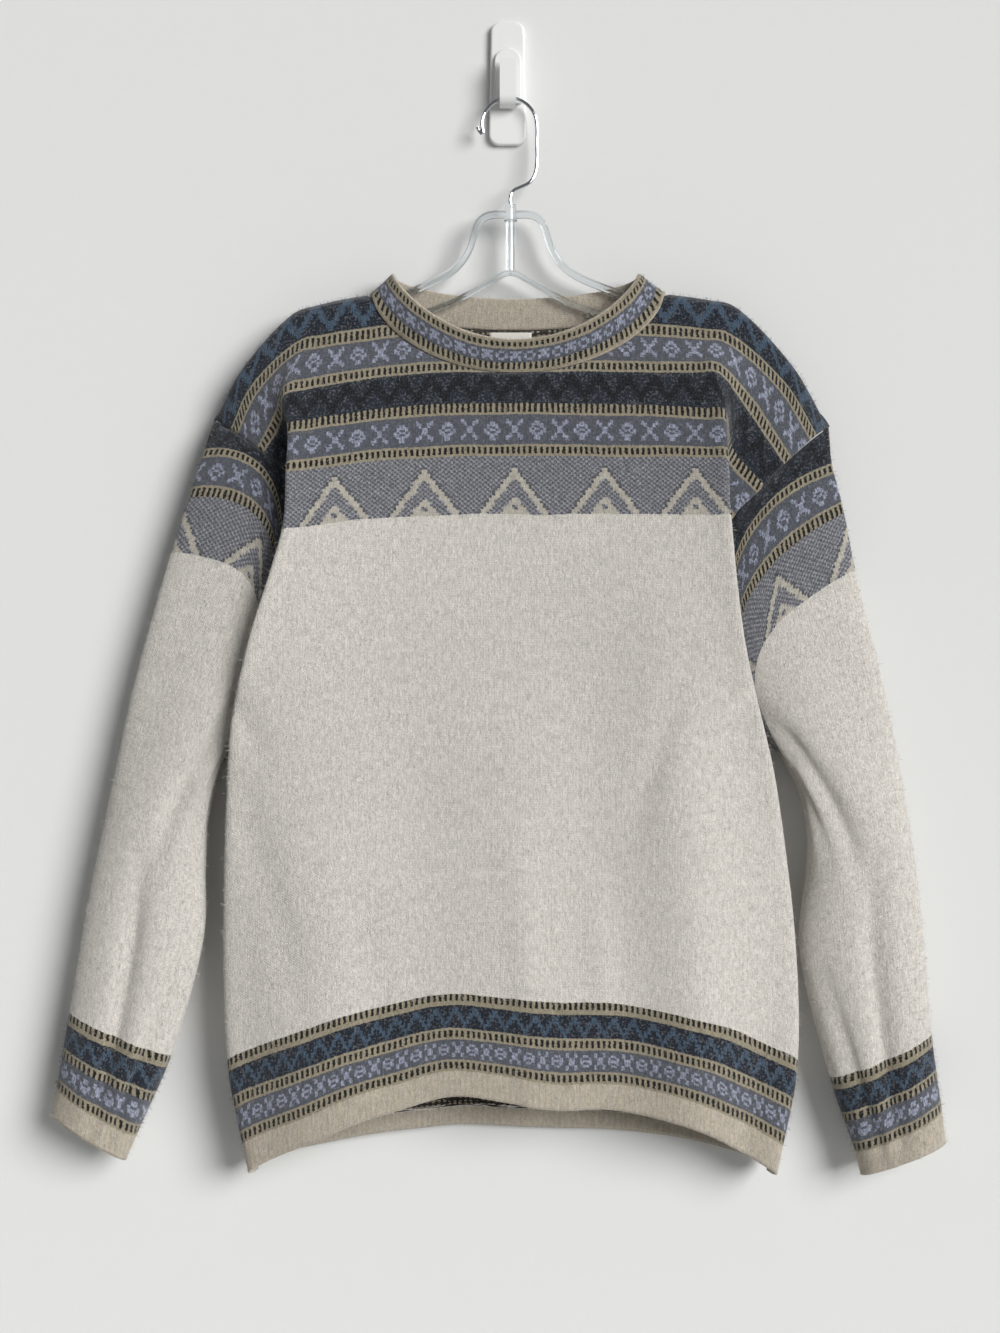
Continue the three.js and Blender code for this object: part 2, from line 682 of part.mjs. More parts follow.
function hangerGeometry() {
  const inset = HANGER_BELOW_SEAM + HANGER_BAR / 2;
  const arm = (sign) => {
    const x = sign < 0 ? "leftX" : "rightX";
    const z = sign < 0 ? "leftZ" : "rightZ";
    const outs = [0, 20, 40, 60, 80, 100, 116];
    return outs.map((out) => {
      const here = read(SHOULDER_LINE, out);
      const near = read(SHOULDER_LINE, out + 2);
      const along = new THREE.Vector2(near[x] - here[x], near[z] - here[z]).normalize();
      return [here[x] + sign * along.y * inset, here[z] - sign * along.x * inset];
    });
  };
  const upper = [
    ...arm(-1).reverse(),
    ...ARCH.slice(1).reverse().map(([x, z]) => [HANGER_X - x, z]),
    ...ARCH.map(([x, z]) => [HANGER_X + x, z]),
    ...arm(1),
  ];
  const ends = [upper[0], upper[upper.length - 1]];
  const lower = [
    ends[0], [-150, -206], [-90, -187], [-42, -171], [-13, -155], [HANGER_X, -148],
    [17, -155], [46, -171], [96, -187], [160, -205], ends[1],
  ];
  const post = new THREE.CylinderGeometry(POST.radius, POST.radius, POST.height, 12);
  const boss = new THREE.CylinderGeometry(BOSS.topRadius, BOSS.footRadius, BOSS.height, 16);
  return join([
    bar(upper, HANGER_BAR),
    bar(lower, HANGER_BAR - 1),
    post.rotateX(Math.PI / 2).translate(HANGER_X, HANGER_Y, POST.middleZ),
    boss.rotateX(Math.PI / 2).translate(HANGER_X, HANGER_Y, BOSS.middleZ),
  ]);
}

// ---------------------------------------------------------------- wire hook
// [x, z] along the wire's centre line, from the boss up and over to the curled tip. The wire leans
// from the hanger's plane to the hook's.
const WIRE_LOOP = { x: 1, z: -35.4, radius: 21 };
const WIRE_FOOT_Z = -96.6;

function wireGeometry() {
  const route = [
    [HANGER_X, WIRE_FOOT_Z], [1.6, -92], [3.5, -86.5], [9, -83.5], [16, -80], [20.5, -73],
    [WIRE_LOOP.x + WIRE_LOOP.radius, -62], [WIRE_LOOP.x + WIRE_LOOP.radius, -48],
  ];
  for (let turn = 0; turn <= 200; turn += 25) {
    const angle = THREE.MathUtils.degToRad(turn);
    route.push([
      WIRE_LOOP.x + WIRE_LOOP.radius * Math.cos(angle),
      WIRE_LOOP.z + WIRE_LOOP.radius * Math.sin(angle),
    ]);
  }
  const tip = route[route.length - 1];
  route.push([tip[0] - 2.6, tip[1] + 2.2], [tip[0] - 4.6, tip[1] + 6]);
  const centre = route.map(([x, z]) => {
    const lean = THREE.MathUtils.smoothstep(-z, 48, -WIRE_FOOT_Z);
    return vector(x, THREE.MathUtils.lerp(WIRE_TOP_Y, HANGER_Y, lean), z);
  });
  const section = new THREE.Shape().absarc(0, 0, WIRE / 2, 0, 2 * Math.PI);
  return new THREE.ExtrudeGeometry(section, {
    steps: 48,
    curveSegments: 4,
    bevelEnabled: false,
    extrudePath: new THREE.CatmullRomCurve3(centre, false, "centripetal"),
  });
}

// ---------------------------------------------------------------- wall hook
const PLATE = { top: 46.5, bottom: -48, halfTop: 13, halfBottom: 14.5, thick: 5, corner: 8, bevel: 1.6 };
const BASE = { top: 25, bottom: -17, half: 10.2, thick: 3.2, bevel: 0.8 };
const FINGER = { half: 6.2, thick: 3.5, top: 14, reachY: -19.8, troughZ: -17.6 };

// A plate's outline: arc at the top, rounded corners at the foot.
function plateShape({ top, bottom, halfTop, halfBottom, corner }, inset) {
  const shape = new THREE.Shape();
  shape.moveTo(-halfBottom + inset, bottom + corner);
  shape.absarc(-halfBottom + corner, bottom + corner, corner - inset, Math.PI, 1.5 * Math.PI);
  shape.absarc(halfBottom - corner, bottom + corner, corner - inset, 1.5 * Math.PI, 2 * Math.PI);
  shape.absarc(halfTop - corner, top - corner, corner - inset, 0, 0.5 * Math.PI);
  shape.absarc(-halfTop + corner, top - corner, corner - inset, 0.5 * Math.PI, Math.PI);
  return shape;
}

// Extrudes a face-on outline from the wall side at backY towards the front, front edge bevelled.
function frontPlate(shapeOf, backY, thick, bevel) {
  const slab = new THREE.ExtrudeGeometry(shapeOf(0), {
    depth: thick - bevel, bevelEnabled: false, curveSegments: 6,
  });
  const crown = new THREE.ExtrudeGeometry(shapeOf(bevel), {
    depth: 0.01, bevelThickness: bevel - 0.01, bevelSize: bevel, bevelSegments: 3, curveSegments: 6,
  });
  crown.translate(0, 0, thick - bevel);
  return join([slab, crown]).rotateX(Math.PI / 2).translate(0, backY, 0);
}

function wallPlateGeometry() {
  return frontPlate((inset) => plateShape(PLATE, inset), 0, PLATE.thick, PLATE.bevel);
}

function wallHookGeometry() {
  const baseBack = -PLATE.thick - SEAM_GAP;
  const base = frontPlate(
    (inset) => {
      const shape = new THREE.Shape();
      const half = BASE.half - inset;
      shape.moveTo(-half, BASE.bottom + inset);
      shape.lineTo(half, BASE.bottom + inset);
      shape.lineTo(half, BASE.top - BASE.half);
      shape.absarc(0, BASE.top - BASE.half, half, 0, Math.PI);
      return shape;
    },
    baseBack, BASE.thick, BASE.bevel,
  );
  // The J in profile: out from the base under the trough and up, its end rounded.
  const innerY = FINGER.reachY + FINGER.thick;
  const trough = (baseBack - BASE.thick + 0.6 - innerY) / 2;
  const middle = innerY + trough;
  const profile = new THREE.Shape();
  profile.moveTo(middle + trough, FINGER.troughZ + trough);
  profile.absarc(middle, FINGER.troughZ + trough, trough, 0, -Math.PI, true);
  profile.lineTo(innerY, FINGER.top);
  profile.absarc(innerY - FINGER.thick / 2, FINGER.top, FINGER.thick / 2, 0, Math.PI);
  profile.lineTo(FINGER.reachY, FINGER.troughZ + trough);
  profile.absarc(middle, FINGER.troughZ + trough, trough + FINGER.thick, Math.PI, 1.5 * Math.PI);
  profile.lineTo(middle + trough, FINGER.troughZ - FINGER.thick);
  const finger = new THREE.ExtrudeGeometry(profile, {
    depth: 2 * FINGER.half, bevelEnabled: false, curveSegments: 8,
  });
  finger.translate(0, 0, -FINGER.half);
  finger.applyMatrix4(new THREE.Matrix4().makeBasis(vector(0, 1, 0), vector(0, 0, 1), vector(1, 0, 0)));
  return join([base, finger]);
}

// ---------------------------------------------------------------- the part
const FINISH = {
  cream: { color: "#cfcbc4", roughness: 0.95 },
  patterned: { color: "#5b6a7d", roughness: 0.95 },
  label: { color: "#e3e1db", roughness: 0.7 },
  clear: { color: "#dfe6ea", roughness: 0.08, transparent: true, opacity: 0.35 },
  chrome: { color: "#c9cdd0", roughness: 0.15, metalness: 1 },
  white: { color: "#f1f1f0", roughness: 0.35 },
};

function part(name, geometry, finish) {
  const mesh = new THREE.Mesh(geometry, new THREE.MeshStandardMaterial(FINISH[finish]));
  mesh.name = name;
  return mesh;
}

const jumper = new THREE.Group();
jumper.add(
  part("front_panel", panelGeometry("front"), "cream"),
  part("back_panel", panelGeometry("back"), "cream"),
  part("sleeve_left", sleeveGeometry("left"), "cream"),
  part("sleeve_right", sleeveGeometry("right"), "cream"),
  part("neckband", neckbandGeometry(), "patterned"),
  part("neck_label", labelGeometry(), "label"),
);

const hanging = new THREE.Group();
hanging.add(
  part("hanger", hangerGeometry(), "clear"),
  part("hanger_hook", wireGeometry(), "chrome"),
);

const wallHook = new THREE.Group();
wallHook.add(
  part("wall_plate", wallPlateGeometry(), "white"),
  part("wall_hook", wallHookGeometry(), "white"),
);

const group = new THREE.Group();
group.add(jumper, hanging, wallHook);
export default group;
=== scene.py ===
"""A felted fair isle jumper on a clear hanger and a white wall hook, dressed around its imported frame."""

from math import cos, pi, radians, sin

import bmesh
import bpy
import numpy as np
from mathutils import Matrix, Vector


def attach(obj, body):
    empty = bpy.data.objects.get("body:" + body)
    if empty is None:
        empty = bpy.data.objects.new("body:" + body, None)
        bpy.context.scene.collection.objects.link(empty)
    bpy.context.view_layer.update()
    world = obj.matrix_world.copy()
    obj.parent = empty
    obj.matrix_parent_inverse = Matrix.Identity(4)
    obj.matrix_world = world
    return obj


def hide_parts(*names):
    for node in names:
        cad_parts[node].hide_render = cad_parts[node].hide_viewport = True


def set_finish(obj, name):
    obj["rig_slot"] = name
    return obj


bl_info = {
    "name": "Fair Isle Jumper",
    "version": (1, 0, 0),
    "blender": (4, 5, 0),
    "location": "3D View > Sidebar > Jumper",
    "description": "Knitted cloth, hanger and wall hook for a fair isle jumper",
    "category": "Object",
}

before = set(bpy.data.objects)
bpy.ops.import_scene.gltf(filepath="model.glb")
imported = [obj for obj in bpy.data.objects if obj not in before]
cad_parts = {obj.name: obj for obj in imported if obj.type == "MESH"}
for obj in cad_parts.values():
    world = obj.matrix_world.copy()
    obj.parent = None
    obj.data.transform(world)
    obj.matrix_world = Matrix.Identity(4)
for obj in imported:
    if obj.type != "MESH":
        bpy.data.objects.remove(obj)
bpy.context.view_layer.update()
MM = 0.001

# ------------------------------------------------------------------ sizes, millimetres
FRONT_LENGTH = 613
BACK_LENGTH = 640
ARMHOLE = 250
SLEEVE_LENGTH = 545
MIDDLE_X = 5
NECK_SHARE = 0.4
NECK_ROUNDNESS = 0.8
ARMHOLE_SPREAD = 6
SHOULDER_ROUND = 9
SHOULDER_LIFT = 2.2
HANGER_Y = -18
SEAM_GAP = 0.36
SLEEVE_START = 0.7

STITCH = 2.1  # width of one stitch across a row
ROW = 1.75  # height of one knitted row


def table(columns, *rows):
    """Named columns over rows of numbers; the first column is the key it is read by."""
    return {"columns": columns.split(), "rows": np.array(rows, float)}


SEAM = "down x y z"
LEFT_SEAM = table(
    SEAM,
    (0, -222, -20, -262),
    (33, -207, -25, -270),
    (63, -187, -28, -284),
    (97, -168, -29, -300),
    (130, -155, -29, -322),
    (176, -150, -28, -372),
    (215, -163, -27, -432),
    (250, -190, -26, -492),
    (350, -202, -23, -588),
    (450, -206, -22, -676),
    (538, -203, -22, -755),
    (613, -190, -22, -827),
)
RIGHT_SEAM = table(
    SEAM,
    (0, 243, -20, -266),
    (33, 231, -25, -274),
    (63, 211, -28, -292),
    (97, 190, -29, -314),
    (130, 168, -29, -338),
    (176, 156, -28, -390),
    (215, 168, -27, -444),
    (250, 191, -26, -498),
    (350, 201, -23, -590),
    (450, 208, -22, -677),
    (538, 209, -22, -756),
    (613, 197, -22, -828),
)

# The fold that hangs from the end of the hanger's arm, and the cloth tucked in behind it.
EDGE = "down foldX foldY foldZ tuckX tuckY tuckZ"
FRONT_LEFT = table(
    EDGE,
    (0, -162, -28, -179, -204, -28, -226),
    (33, -156, -33, -206, -191, -31, -238),
    (63, -167, -44, -240, -173, -36, -260),
    (97, -164, -51, -271, -153, -36, -288),
    (130, -165, -55, -301, -144, -35, -316),
    (176, -168, -56, -345, -139, -34, -362),
    (250, -193, -55, -430, -176, -38, -462),
    (300, -205, -51, -484, -191, -37, -512),
    (350, -209, -47, -540, -203, -33, -560),
    (450, -212, -42, -652, -210, -31, -662),
    (538, -209, -41, -745, -207, -30, -752),
    (613, -194, -39, -825, -193, -29, -828),
)
FRONT_RIGHT = table(
    EDGE,
    (0, 170, -28, -173, 215, -28, -219),
    (33, 163, -33, -199, 205, -31, -234),
    (63, 156, -44, -223, 182, -35, -250),
    (97, 161, -51, -260, 167, -36, -288),
    (130, 163, -55, -290, 153, -35, -318),
    (176, 165, -56, -334, 145, -34, -364),
    (250, 174, -55, -421, 168, -38, -460),
    (300, 186, -52, -476, 181, -37, -510),
    (350, 199, -48, -533, 195, -34, -556),
    (450, 214, -42, -647, 211, -31, -660),
    (538, 216, -41, -746, 213, -30, -753),
    (613, 201, -39, -827, 200, -29, -829),
)
BACK_LEFT = table(
    EDGE,
    (0, -162, -8, -179, -204, -8, -226),
    (33, -160, -9, -207, -194, -13, -242),
    (63, -170, -7, -243, -181, -17, -266),
    (130, -166, -6, -305, -146, -18, -316),
    (176, -168, -6, -350, -140, -18, -364),
    (250, -184, -6, -430, -170, -17, -456),
    (350, -202, -8, -545, -203, -14, -562),
    (450, -207, -9, -648, -208, -15, -660),
    (560, -204, -9, -752, -206, -15, -762),
    (640, -192, -9, -823, -193, -15, -827),
)
BACK_RIGHT = table(
    EDGE,
    (0, 170, -8, -173, 215, -8, -219),
    (33, 166, -9, -202, 206, -13, -240),
    (63, 166, -7, -230, 190, -17, -262),
    (130, 166, -6, -298, 154, -18, -322),
    (176, 168, -6, -342, 146, -18, -370),
    (250, 176, -6, -424, 168, -17, -456),
    (350, 198, -8, -538, 199, -14, -560),
    (450, 209, -9, -644, 209, -15, -660),
    (560, 210, -9, -754, 211, -15, -763),
    (640, 198, -9, -824, 199, -15, -828),
)
MIDDLE = "down y z bow"
FRONT_MIDDLE = table(
    MIDDLE,
    (0, -28, -162, 3.8),
    (33, -31, -192, 3.0),
    (63, -37, -221, 2.7),
    (130, -45, -287, 2.4),
    (250, -51, -407, 2.4),
    (400, -56, -558, 2.4),
    (538, -58, -696, 2.4),
    (613, -57, -770, 2.4),
)
BACK_MIDDLE = table(
    MIDDLE,
    (0, -8, -162, 3.8),
    (33, -9, -191, 3.0),
    (63, -7, -221, 2.7),
    (130, -6, -288, 2.4),
    (250, -5, -407, 2.4),
    (400, -6, -557, 2.4),
    (560, -7, -717, 2.4),
    (640, -8, -797, 2.4),
)
RINGS = "along topX topZ midX midZ underX underZ frontY sideY backY"
LEFT_RINGS = table(
    RINGS,
    (33, -230, -287, -172, -332, -198, -503, -34, -27, -17),
    (66, -240, -318, -175, -360, -207, -511, -36, -27, -15),
    (110, -254, -361, -187, -399, -216, -522, -38, -27, -13),
    (210, -281, -457, -228, -492, -226, -556, -43, -27, -12),
    (300, -300, -545, -258, -566, -228, -600, -46, -27, -11),
    (380, -316, -622, -272, -638, -230, -655, -46, -27, -10),
    (460, -330, -705, -291, -722, -253, -738, -46, -27, -10),
    (520, -340, -763, -309, -782, -279, -798, -44, -27, -12),
    (545, -344, -784, -316, -801, -288, -819, -43, -27, -13),
)
RIGHT_RINGS = table(
    RINGS,
    (33, 245, -298, 170, -374, 199, -508, -34, -27, -17),
    (66, 253, -329, 175, -408, 208, -515, -37, -27, -15),
    (110, 262, -374, 187, -440, 216, -525, -39, -27, -13),
    (210, 285, -470, 224, -500, 226, -557, -44, -27, -12),
    (300, 301, -556, 258, -576, 225, -602, -46, -27, -11),
    (380, 312, -637, 266, -650, 220, -662, -46, -27, -10),
    (460, 319, -721, 281, -740, 242, -754, -46, -27, -10),
    (520, 327, -781, 294, -798, 261, -811, -44, -27, -12),
    (545, 330, -806, 298, -818, 266, -830, -43, -27, -13),
)

# Soft troughs (ridges where deep is negative), as shares across and cloth down or along.
FOLDS = "fromAcross fromDown toAcross toDown wide deep"
FRONT_FOLDS = table(
    FOLDS,
    (-0.62, 140, -0.7, 780, 0.22, -6),
    (-0.24, 220, -0.3, 780, 0.16, 3),
    (0.12, 200, 0.4, 780, 0.13, 3),
    (0.4, 180, 0.68, 780, 0.13, -8),
    (0, 380, 0.03, 780, 0.06, -4),
)
BACK_FOLDS = table(
    FOLDS,
    (0.66, 200, 0.45, 560, 0.1, 4),
    (-0.7, 210, -0.48, 600, 0.1, 4),
    (-0.1, 330, 0.05, 660, 0.14, 3),
)
# Smaller creases that only the cloth's look needs.
FRONT_CREASES = table(
    FOLDS,
    (0.9, 190, 0.62, 330, 0.04, 4.0),
    (0.93, 260, 0.78, 460, 0.04, 3.0),
    (0.5, 260, 0.32, 430, 0.04, 2.0),
    (0.22, 420, 0.3, 600, 0.05, -2.0),
    (-0.9, 195, -0.66, 350, 0.04, 3.5),
    (-0.8, 300, -0.62, 560, 0.05, 2.0),
    (-0.46, 400, -0.4, 620, 0.06, 1.5),
    (-0.02, 430, 0.02, 700, 0.05, 3.0),
    (0.78, 500, 0.8, 700, 0.05, 3.0),
)
BACK_CREASES = table(
    FOLDS,
    (0.84, 190, 0.42, 390, 0.045, 4.0),
    (-0.86, 200, -0.48, 400, 0.045, 4.0),
    (0.34, 300, 0.2, 640, 0.07, 3.0),
    (-0.36, 380, -0.28, 660, 0.07, 3.0),
    (0.1, 520, 0.12, 700, 0.07, -2.0),
)
# On a sleeve "across" is the turn, 0 at the top, 0.5 at the underside, front half first.
SLEEVE_CREASES = table(
    FOLDS,
    (0.2, 300, 0.27, 560, 0.035, 6.0),
    (0.36, 90, 0.24, 360, 0.035, 6.5),
    (0.44, 120, 0.33, 320, 0.03, 4.5),
    (0.13, 60, 0.11, 300, 0.045, 3.0),
    (0.38, 380, 0.33, 560, 0.03, 4.0),
    (0.72, 120, 0.76, 380, 0.045, 4.5),
    (0.84, 200, 0.8, 500, 0.035, 3.5),
)


# ------------------------------------------------------------------ reading the tables
def hermite(start, leave, end, arrive, t):
    t2, t3 = t * t, t * t * t
    return (
        (2 * t3 - 3 * t2 + 1) * start
        + (t3 - 2 * t2 + t) * leave
        + (3 * t2 - 2 * t3) * end
        + (t3 - t2) * arrive
    )


def read(rows_of, key):
    """Every column at key (a number or an array), smoothly between rows."""
    rows, names = rows_of["rows"], rows_of["columns"]
    last = len(rows) - 1
    before = rows[np.maximum(np.arange(last + 1) - 1, 0)]
    after = rows[np.minimum(np.arange(last + 1) + 1, last)]
    slopes = (after - before) / (after[:, :1] - before[:, :1])
    key = np.asarray(key, float)
    k = np.clip(np.searchsorted(rows[:, 0], key, side="left") - 1, 0, last - 1)
    step = rows[k + 1, 0] - rows[k, 0]
    t = np.clip((key - rows[k, 0]) / step, 0, 1)
    return {
        name: hermite(rows[k, c], slopes[k, c] * step, rows[k + 1, c], slopes[k + 1, c] * step, t)
        for c, name in enumerate(names)
    }


SIDES = {
    "left": {"sign": -1, "seam": LEFT_SEAM, "rings": LEFT_RINGS},
    "right": {"sign": 1, "seam": RIGHT_SEAM, "rings": RIGHT_RINGS},
}
PANELS = {
    "front": {
        "length": FRONT_LENGTH, "outward": -1, "middle": FRONT_MIDDLE, "neck_drop": 69, "hem_wave": 1.0,
        "folds": (FRONT_FOLDS, FRONT_CREASES), "left": FRONT_LEFT, "right": FRONT_RIGHT,
    },
    "back": {
        "length": BACK_LENGTH, "outward": 1, "middle": BACK_MIDDLE, "neck_drop": 33, "hem_wave": 0.3,
        "folds": (BACK_FOLDS, BACK_CREASES), "left": BACK_LEFT, "right": BACK_RIGHT,
    },
}


def armhole(side, down, outward):
    """The line where panels and sleeve meet, open from front to back as far as the underarm."""
    seam = read(side["seam"], down)
    spread = ARMHOLE_SPREAD * np.sin(pi * np.minimum(down, ARMHOLE) / ARMHOLE)
    return np.stack([seam["x"], seam["y"] + outward * spread, seam["z"]], axis=-1)


def spline(points, samples=28):
    """A centripetal curve through points, as a dense line."""
    ends = [2 * points[0] - points[1], *points, 2 * points[-1] - points[-2]]
    line = []
    t = np.linspace(0, 1, samples, endpoint=False)[:, None]
    for p0, p1, p2, p3 in zip(ends, ends[1:], ends[2:], ends[3:]):
        a, b, c = (max(np.linalg.norm(q - p) ** 0.5, 1e-3) for p, q in ((p0, p1), (p1, p2), (p2, p3)))
        leave = ((p1 - p0) / a - (p2 - p0) / (a + b) + (p2 - p1) / b) * b
        arrive = ((p2 - p1) / b - (p3 - p1) / (b + c) + (p3 - p2) / c) * b
        line.append(hermite(p1, leave, p2, arrive, t))
    return np.vstack([*line, points[-1][None]])


def half_row(panel, side_name, down, shares):
    """Points along one knitted row, at shares of the way from the middle to a side seam."""
    middle, edge = read(panel["middle"], down), read(panel[side_name], down)
    fold = np.array([edge["foldX"], edge["foldY"], edge["foldZ"]])
    tuck = np.array([edge["tuckX"], edge["tuckY"], edge["tuckZ"]])
    eased = ARMHOLE + (down - ARMHOLE) * (FRONT_LENGTH - ARMHOLE) / (panel["length"] - ARMHOLE)
    seam = armhole(SIDES[side_name], down if down <= ARMHOLE else eased, panel["outward"])
    points = [
        np.array([
            MIDDLE_X + (fold[0] - MIDDLE_X) * s,
            middle["y"] + (fold[1] - middle["y"]) * s**3,
            middle["z"] + (fold[2] - middle["z"]) * s ** middle["bow"],
        ])
        for s in (0, 0.25, 0.5, 0.72, 0.9)
    ]
    line = spline([*points, fold, tuck, seam])
    reach = np.concatenate([[0], np.cumsum(np.linalg.norm(np.diff(line, axis=0), axis=1))])
    at = np.asarray(shares) * reach[-1]
    return np.stack([*(np.interp(at, reach, line[:, axis]) for axis in range(3)), at], axis=-1)


def fold_depth(folds, across, down):
    """How far soft folds push the cloth in, fading at each end of a fold."""
    deep = np.zeros(np.broadcast(across, down).shape)
    for row in folds["rows"]:
        from_across, from_down, to_across, to_down, wide, depth = row
        t = (down - from_down) / (to_down - from_down)
        reach = np.clip(np.minimum(t, 1 - t) / 0.35, 0, 1)
        line = from_across + (to_across - from_across) * t
        deep += depth * reach * np.exp(-(((across - line) / wide) ** 2))
    return deep


# The hem doesn't hang level: it rises in a crest beside the middle and dips to the right of it.
HEM_WAVES = table(
    "across wide rise",
    (-0.2, 0.14, 6.0),
    (0.14, 0.13, -5.0),
    (0.62, 0.14, 2.5),
    (-0.66, 0.12, -2.5),
)


def hem_lift(across, down, length):
    near = np.clip((down - (length - 190)) / 190, 0, 1)
    near = near * near * (3 - 2 * near)
    return near * sum(rise * np.exp(-(((across - at) / wide) ** 2)) for at, wide, rise in HEM_WAVES["rows"])


def neck_drop(panel, across):
    share = np.minimum(np.abs(across) / NECK_SHARE, 1)
    return panel["neck_drop"] * np.maximum(1 - share**2, 0) ** (NECK_ROUNDNESS / 2)


def round_shoulder(points, down):
    """Brings the cloth's first few millimetres over the hanger's arm onto its middle plane."""
    rounded = np.sin(pi / 2 * np.minimum(down / SHOULDER_ROUND, 1))
    points[..., 1] = HANGER_Y + (points[..., 1] - HANGER_Y) * rounded
    points[..., 2] += SHOULDER_LIFT * np.sin(pi * np.minimum(down / (1.5 * SHOULDER_ROUND), 1))
    return points


def panel_surface(name, across, down):
    """Points of a panel and their distance from its middle, for a grid with down[j][i] at across[i]."""
    panel = PANELS[name]
    levels = np.linspace(0, panel["length"], 110)
    lattice = np.empty((len(levels), len(across), 4))
    for side, chosen in (("left", across < 0), ("right", across >= 0)):
        for k, level in enumerate(levels):
            lattice[k, chosen] = half_row(panel, side, level, np.abs(across[chosen]))
    place = down / (levels[1] - levels[0])
    k = np.clip(place.astype(int), 0, len(levels) - 2)
    t = (place - k)[..., None]
    column = np.broadcast_to(np.arange(len(across)), down.shape)
    p0, p1 = lattice[np.maximum(k - 1, 0), column], lattice[k, column]
    p2, p3 = lattice[k + 1, column], lattice[np.minimum(k + 2, len(levels) - 1), column]
    points = hermite(p1, (p2 - p0) / 2, p2, (p3 - p1) / 2, t)
    from_middle = points[..., 3] * np.sign(across)
    points = round_shoulder(points[..., :3], down)
    sink = sum(fold_depth(f, across, down) for f in panel["folds"]) * (1 - np.abs(across) ** 6)
    points[..., 1] -= panel["outward"] * sink
    points[..., 2] += hem_lift(across, down, panel["length"]) * panel["hem_wave"]
    return points, from_middle


def ring_stations(rings, along):
    r = read(rings, along)
    return [
        np.stack([r["topX"], r["sideY"], r["topZ"]], -1),
        np.stack([r["midX"], r["frontY"], r["midZ"]], -1),
        np.stack([r["underX"], r["sideY"], r["underZ"]], -1),
        np.stack([r["midX"], r["backY"], r["midZ"]], -1),
    ]


def ring_points(rings, turns, along):
    stations = np.stack(ring_stations(rings, along))
    k = (turns * 4).astype(int) % 4
    t = (turns * 4 - np.floor(turns * 4))[:, None]
    p0, p1, p2, p3 = (stations[(k + n) % 4] for n in (-1, 0, 1, 2))
    return hermite(p1, 0.82 * (p2 - p0), p2, 0.82 * (p3 - p1), t)


def sleeve_surface(side_name, turns, alongs):
    """Points of a sleeve, alongs by turns, and their distance round it from the top fold."""
    side = SIDES[side_name]
    whole = turns % 1
    first = side["rings"]["rows"][0, 0]
    down = ARMHOLE * np.where(whole <= 0.5, 2 * whole, 2 - 2 * whole)
    start = np.array([armhole(side, d, -1 if turn <= 0.5 else 1) for turn, d in zip(whole, down)])
    start = round_shoulder(start, down)
    to, beyond = ring_points(side["rings"], whole, first), ring_points(side["rings"], whole, 2 * first)
    arrive = (beyond - start) / 2
    leave = (to - start) * 2 - arrive
    grid = np.array([
        ring_points(side["rings"], whole, along) if along >= first
        else hermite(start, leave, to, arrive, along / first)
        for along in alongs
    ])
    outwards = grid - grid.mean(axis=1, keepdims=True)
    outwards /= np.linalg.norm(outwards, axis=-1, keepdims=True)
    alongs = alongs[:, None]
    sink = fold_depth(SLEEVE_CREASES, whole[None, :], alongs) * np.clip(alongs / 40, 0, 1)
    steps = np.linalg.norm(np.diff(grid, axis=1), axis=-1)
    round_it = np.concatenate([np.zeros((len(grid), 1)), np.cumsum(steps, axis=1)], axis=1)
    round_it -= round_it[:, [np.argmin(np.abs(turns))]]
    return grid - outwards * sink[..., None], round_it


# ------------------------------------------------------------------ making pieces
def piece_from_grid(name, points, uvs, materials, joined=False):
    """A sheet of cloth from a grid of points[j][i], with its own cloth coordinates as a UV map."""
    rows, columns = points.shape[:2]
    bm = bmesh.new()
    bmesh.ops.create_grid(bm, x_segments=columns - 1, y_segments=rows - 1, size=1)
    bm.verts.ensure_lookup_table()
    layer = bm.loops.layers.uv.new("Cloth")
    index = {}
    for v in bm.verts:
        i = round((v.co.x + 1) / 2 * (columns - 1))
        j = round((v.co.y + 1) / 2 * (rows - 1))
        index[v.index] = (j, i)
        v.co = Vector(points[j, i]) * MM
    for face in bm.faces:
        face.smooth = True
        for loop in face.loops:
            loop[layer].uv = uvs[index[loop.vert.index]]
    if joined:
        bmesh.ops.remove_doubles(bm, verts=bm.verts, dist=1e-6)
    bmesh.ops.recalc_face_normals(bm, faces=bm.faces)
    mesh = bpy.data.meshes.new(name)
    bm.to_mesh(mesh)
    bm.free()
    piece = bpy.data.objects.new(name, mesh)
    bpy.context.scene.collection.objects.link(piece)
    for material in materials:
        mesh.materials.append(material)
    return piece


def turn_outwards(piece, towards):
    """Flips a sheet whose faces point away from the given direction."""
    normals = np.array([p.normal[:] for p in piece.data.polygons])
    areas = np.array([p.area for p in piece.data.polygons])
    if (normals * areas[:, None]).sum(axis=0) @ np.array(towards) < 0:
        piece.data.flip_normals()


def thicken(piece, thickness):
    wall = piece.modifiers.new("Cloth wall", "SOLIDIFY")
    wall.thickness = thickness * MM
    wall.offset = -1
    wall.material_offset = 1
    wall.material_offset_rim = 0


def dress(piece, node, slot):
    """Sets a finished piece in the place of its plain solid."""
    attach(piece, "root")
    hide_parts(node)
    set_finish(piece, slot)
    return piece


def cloth_uv(across, down):
    return np.stack(np.broadcast_arrays(across * MM, -down * MM), axis=-1)


def make_panel(name, materials, thickness):
    panel = PANELS[name]
    across = np.linspace(-1, 1, 171) * (1 - SEAM_GAP / 2 / 210)
    top = neck_drop(panel, across) + SEAM_GAP / 2
    down = top + (panel["length"] - top) * np.linspace(0, 1, 191)[:, None]
    points, from_middle = panel_surface(name, across, down)
    piece = piece_from_grid(f"{name}_knit", points, cloth_uv(from_middle, down), materials)
    turn_outwards(piece, (0, panel["outward"], 0))
    thicken(piece, thickness)
    return dress(piece, f"{name}_panel", "wool_knit")


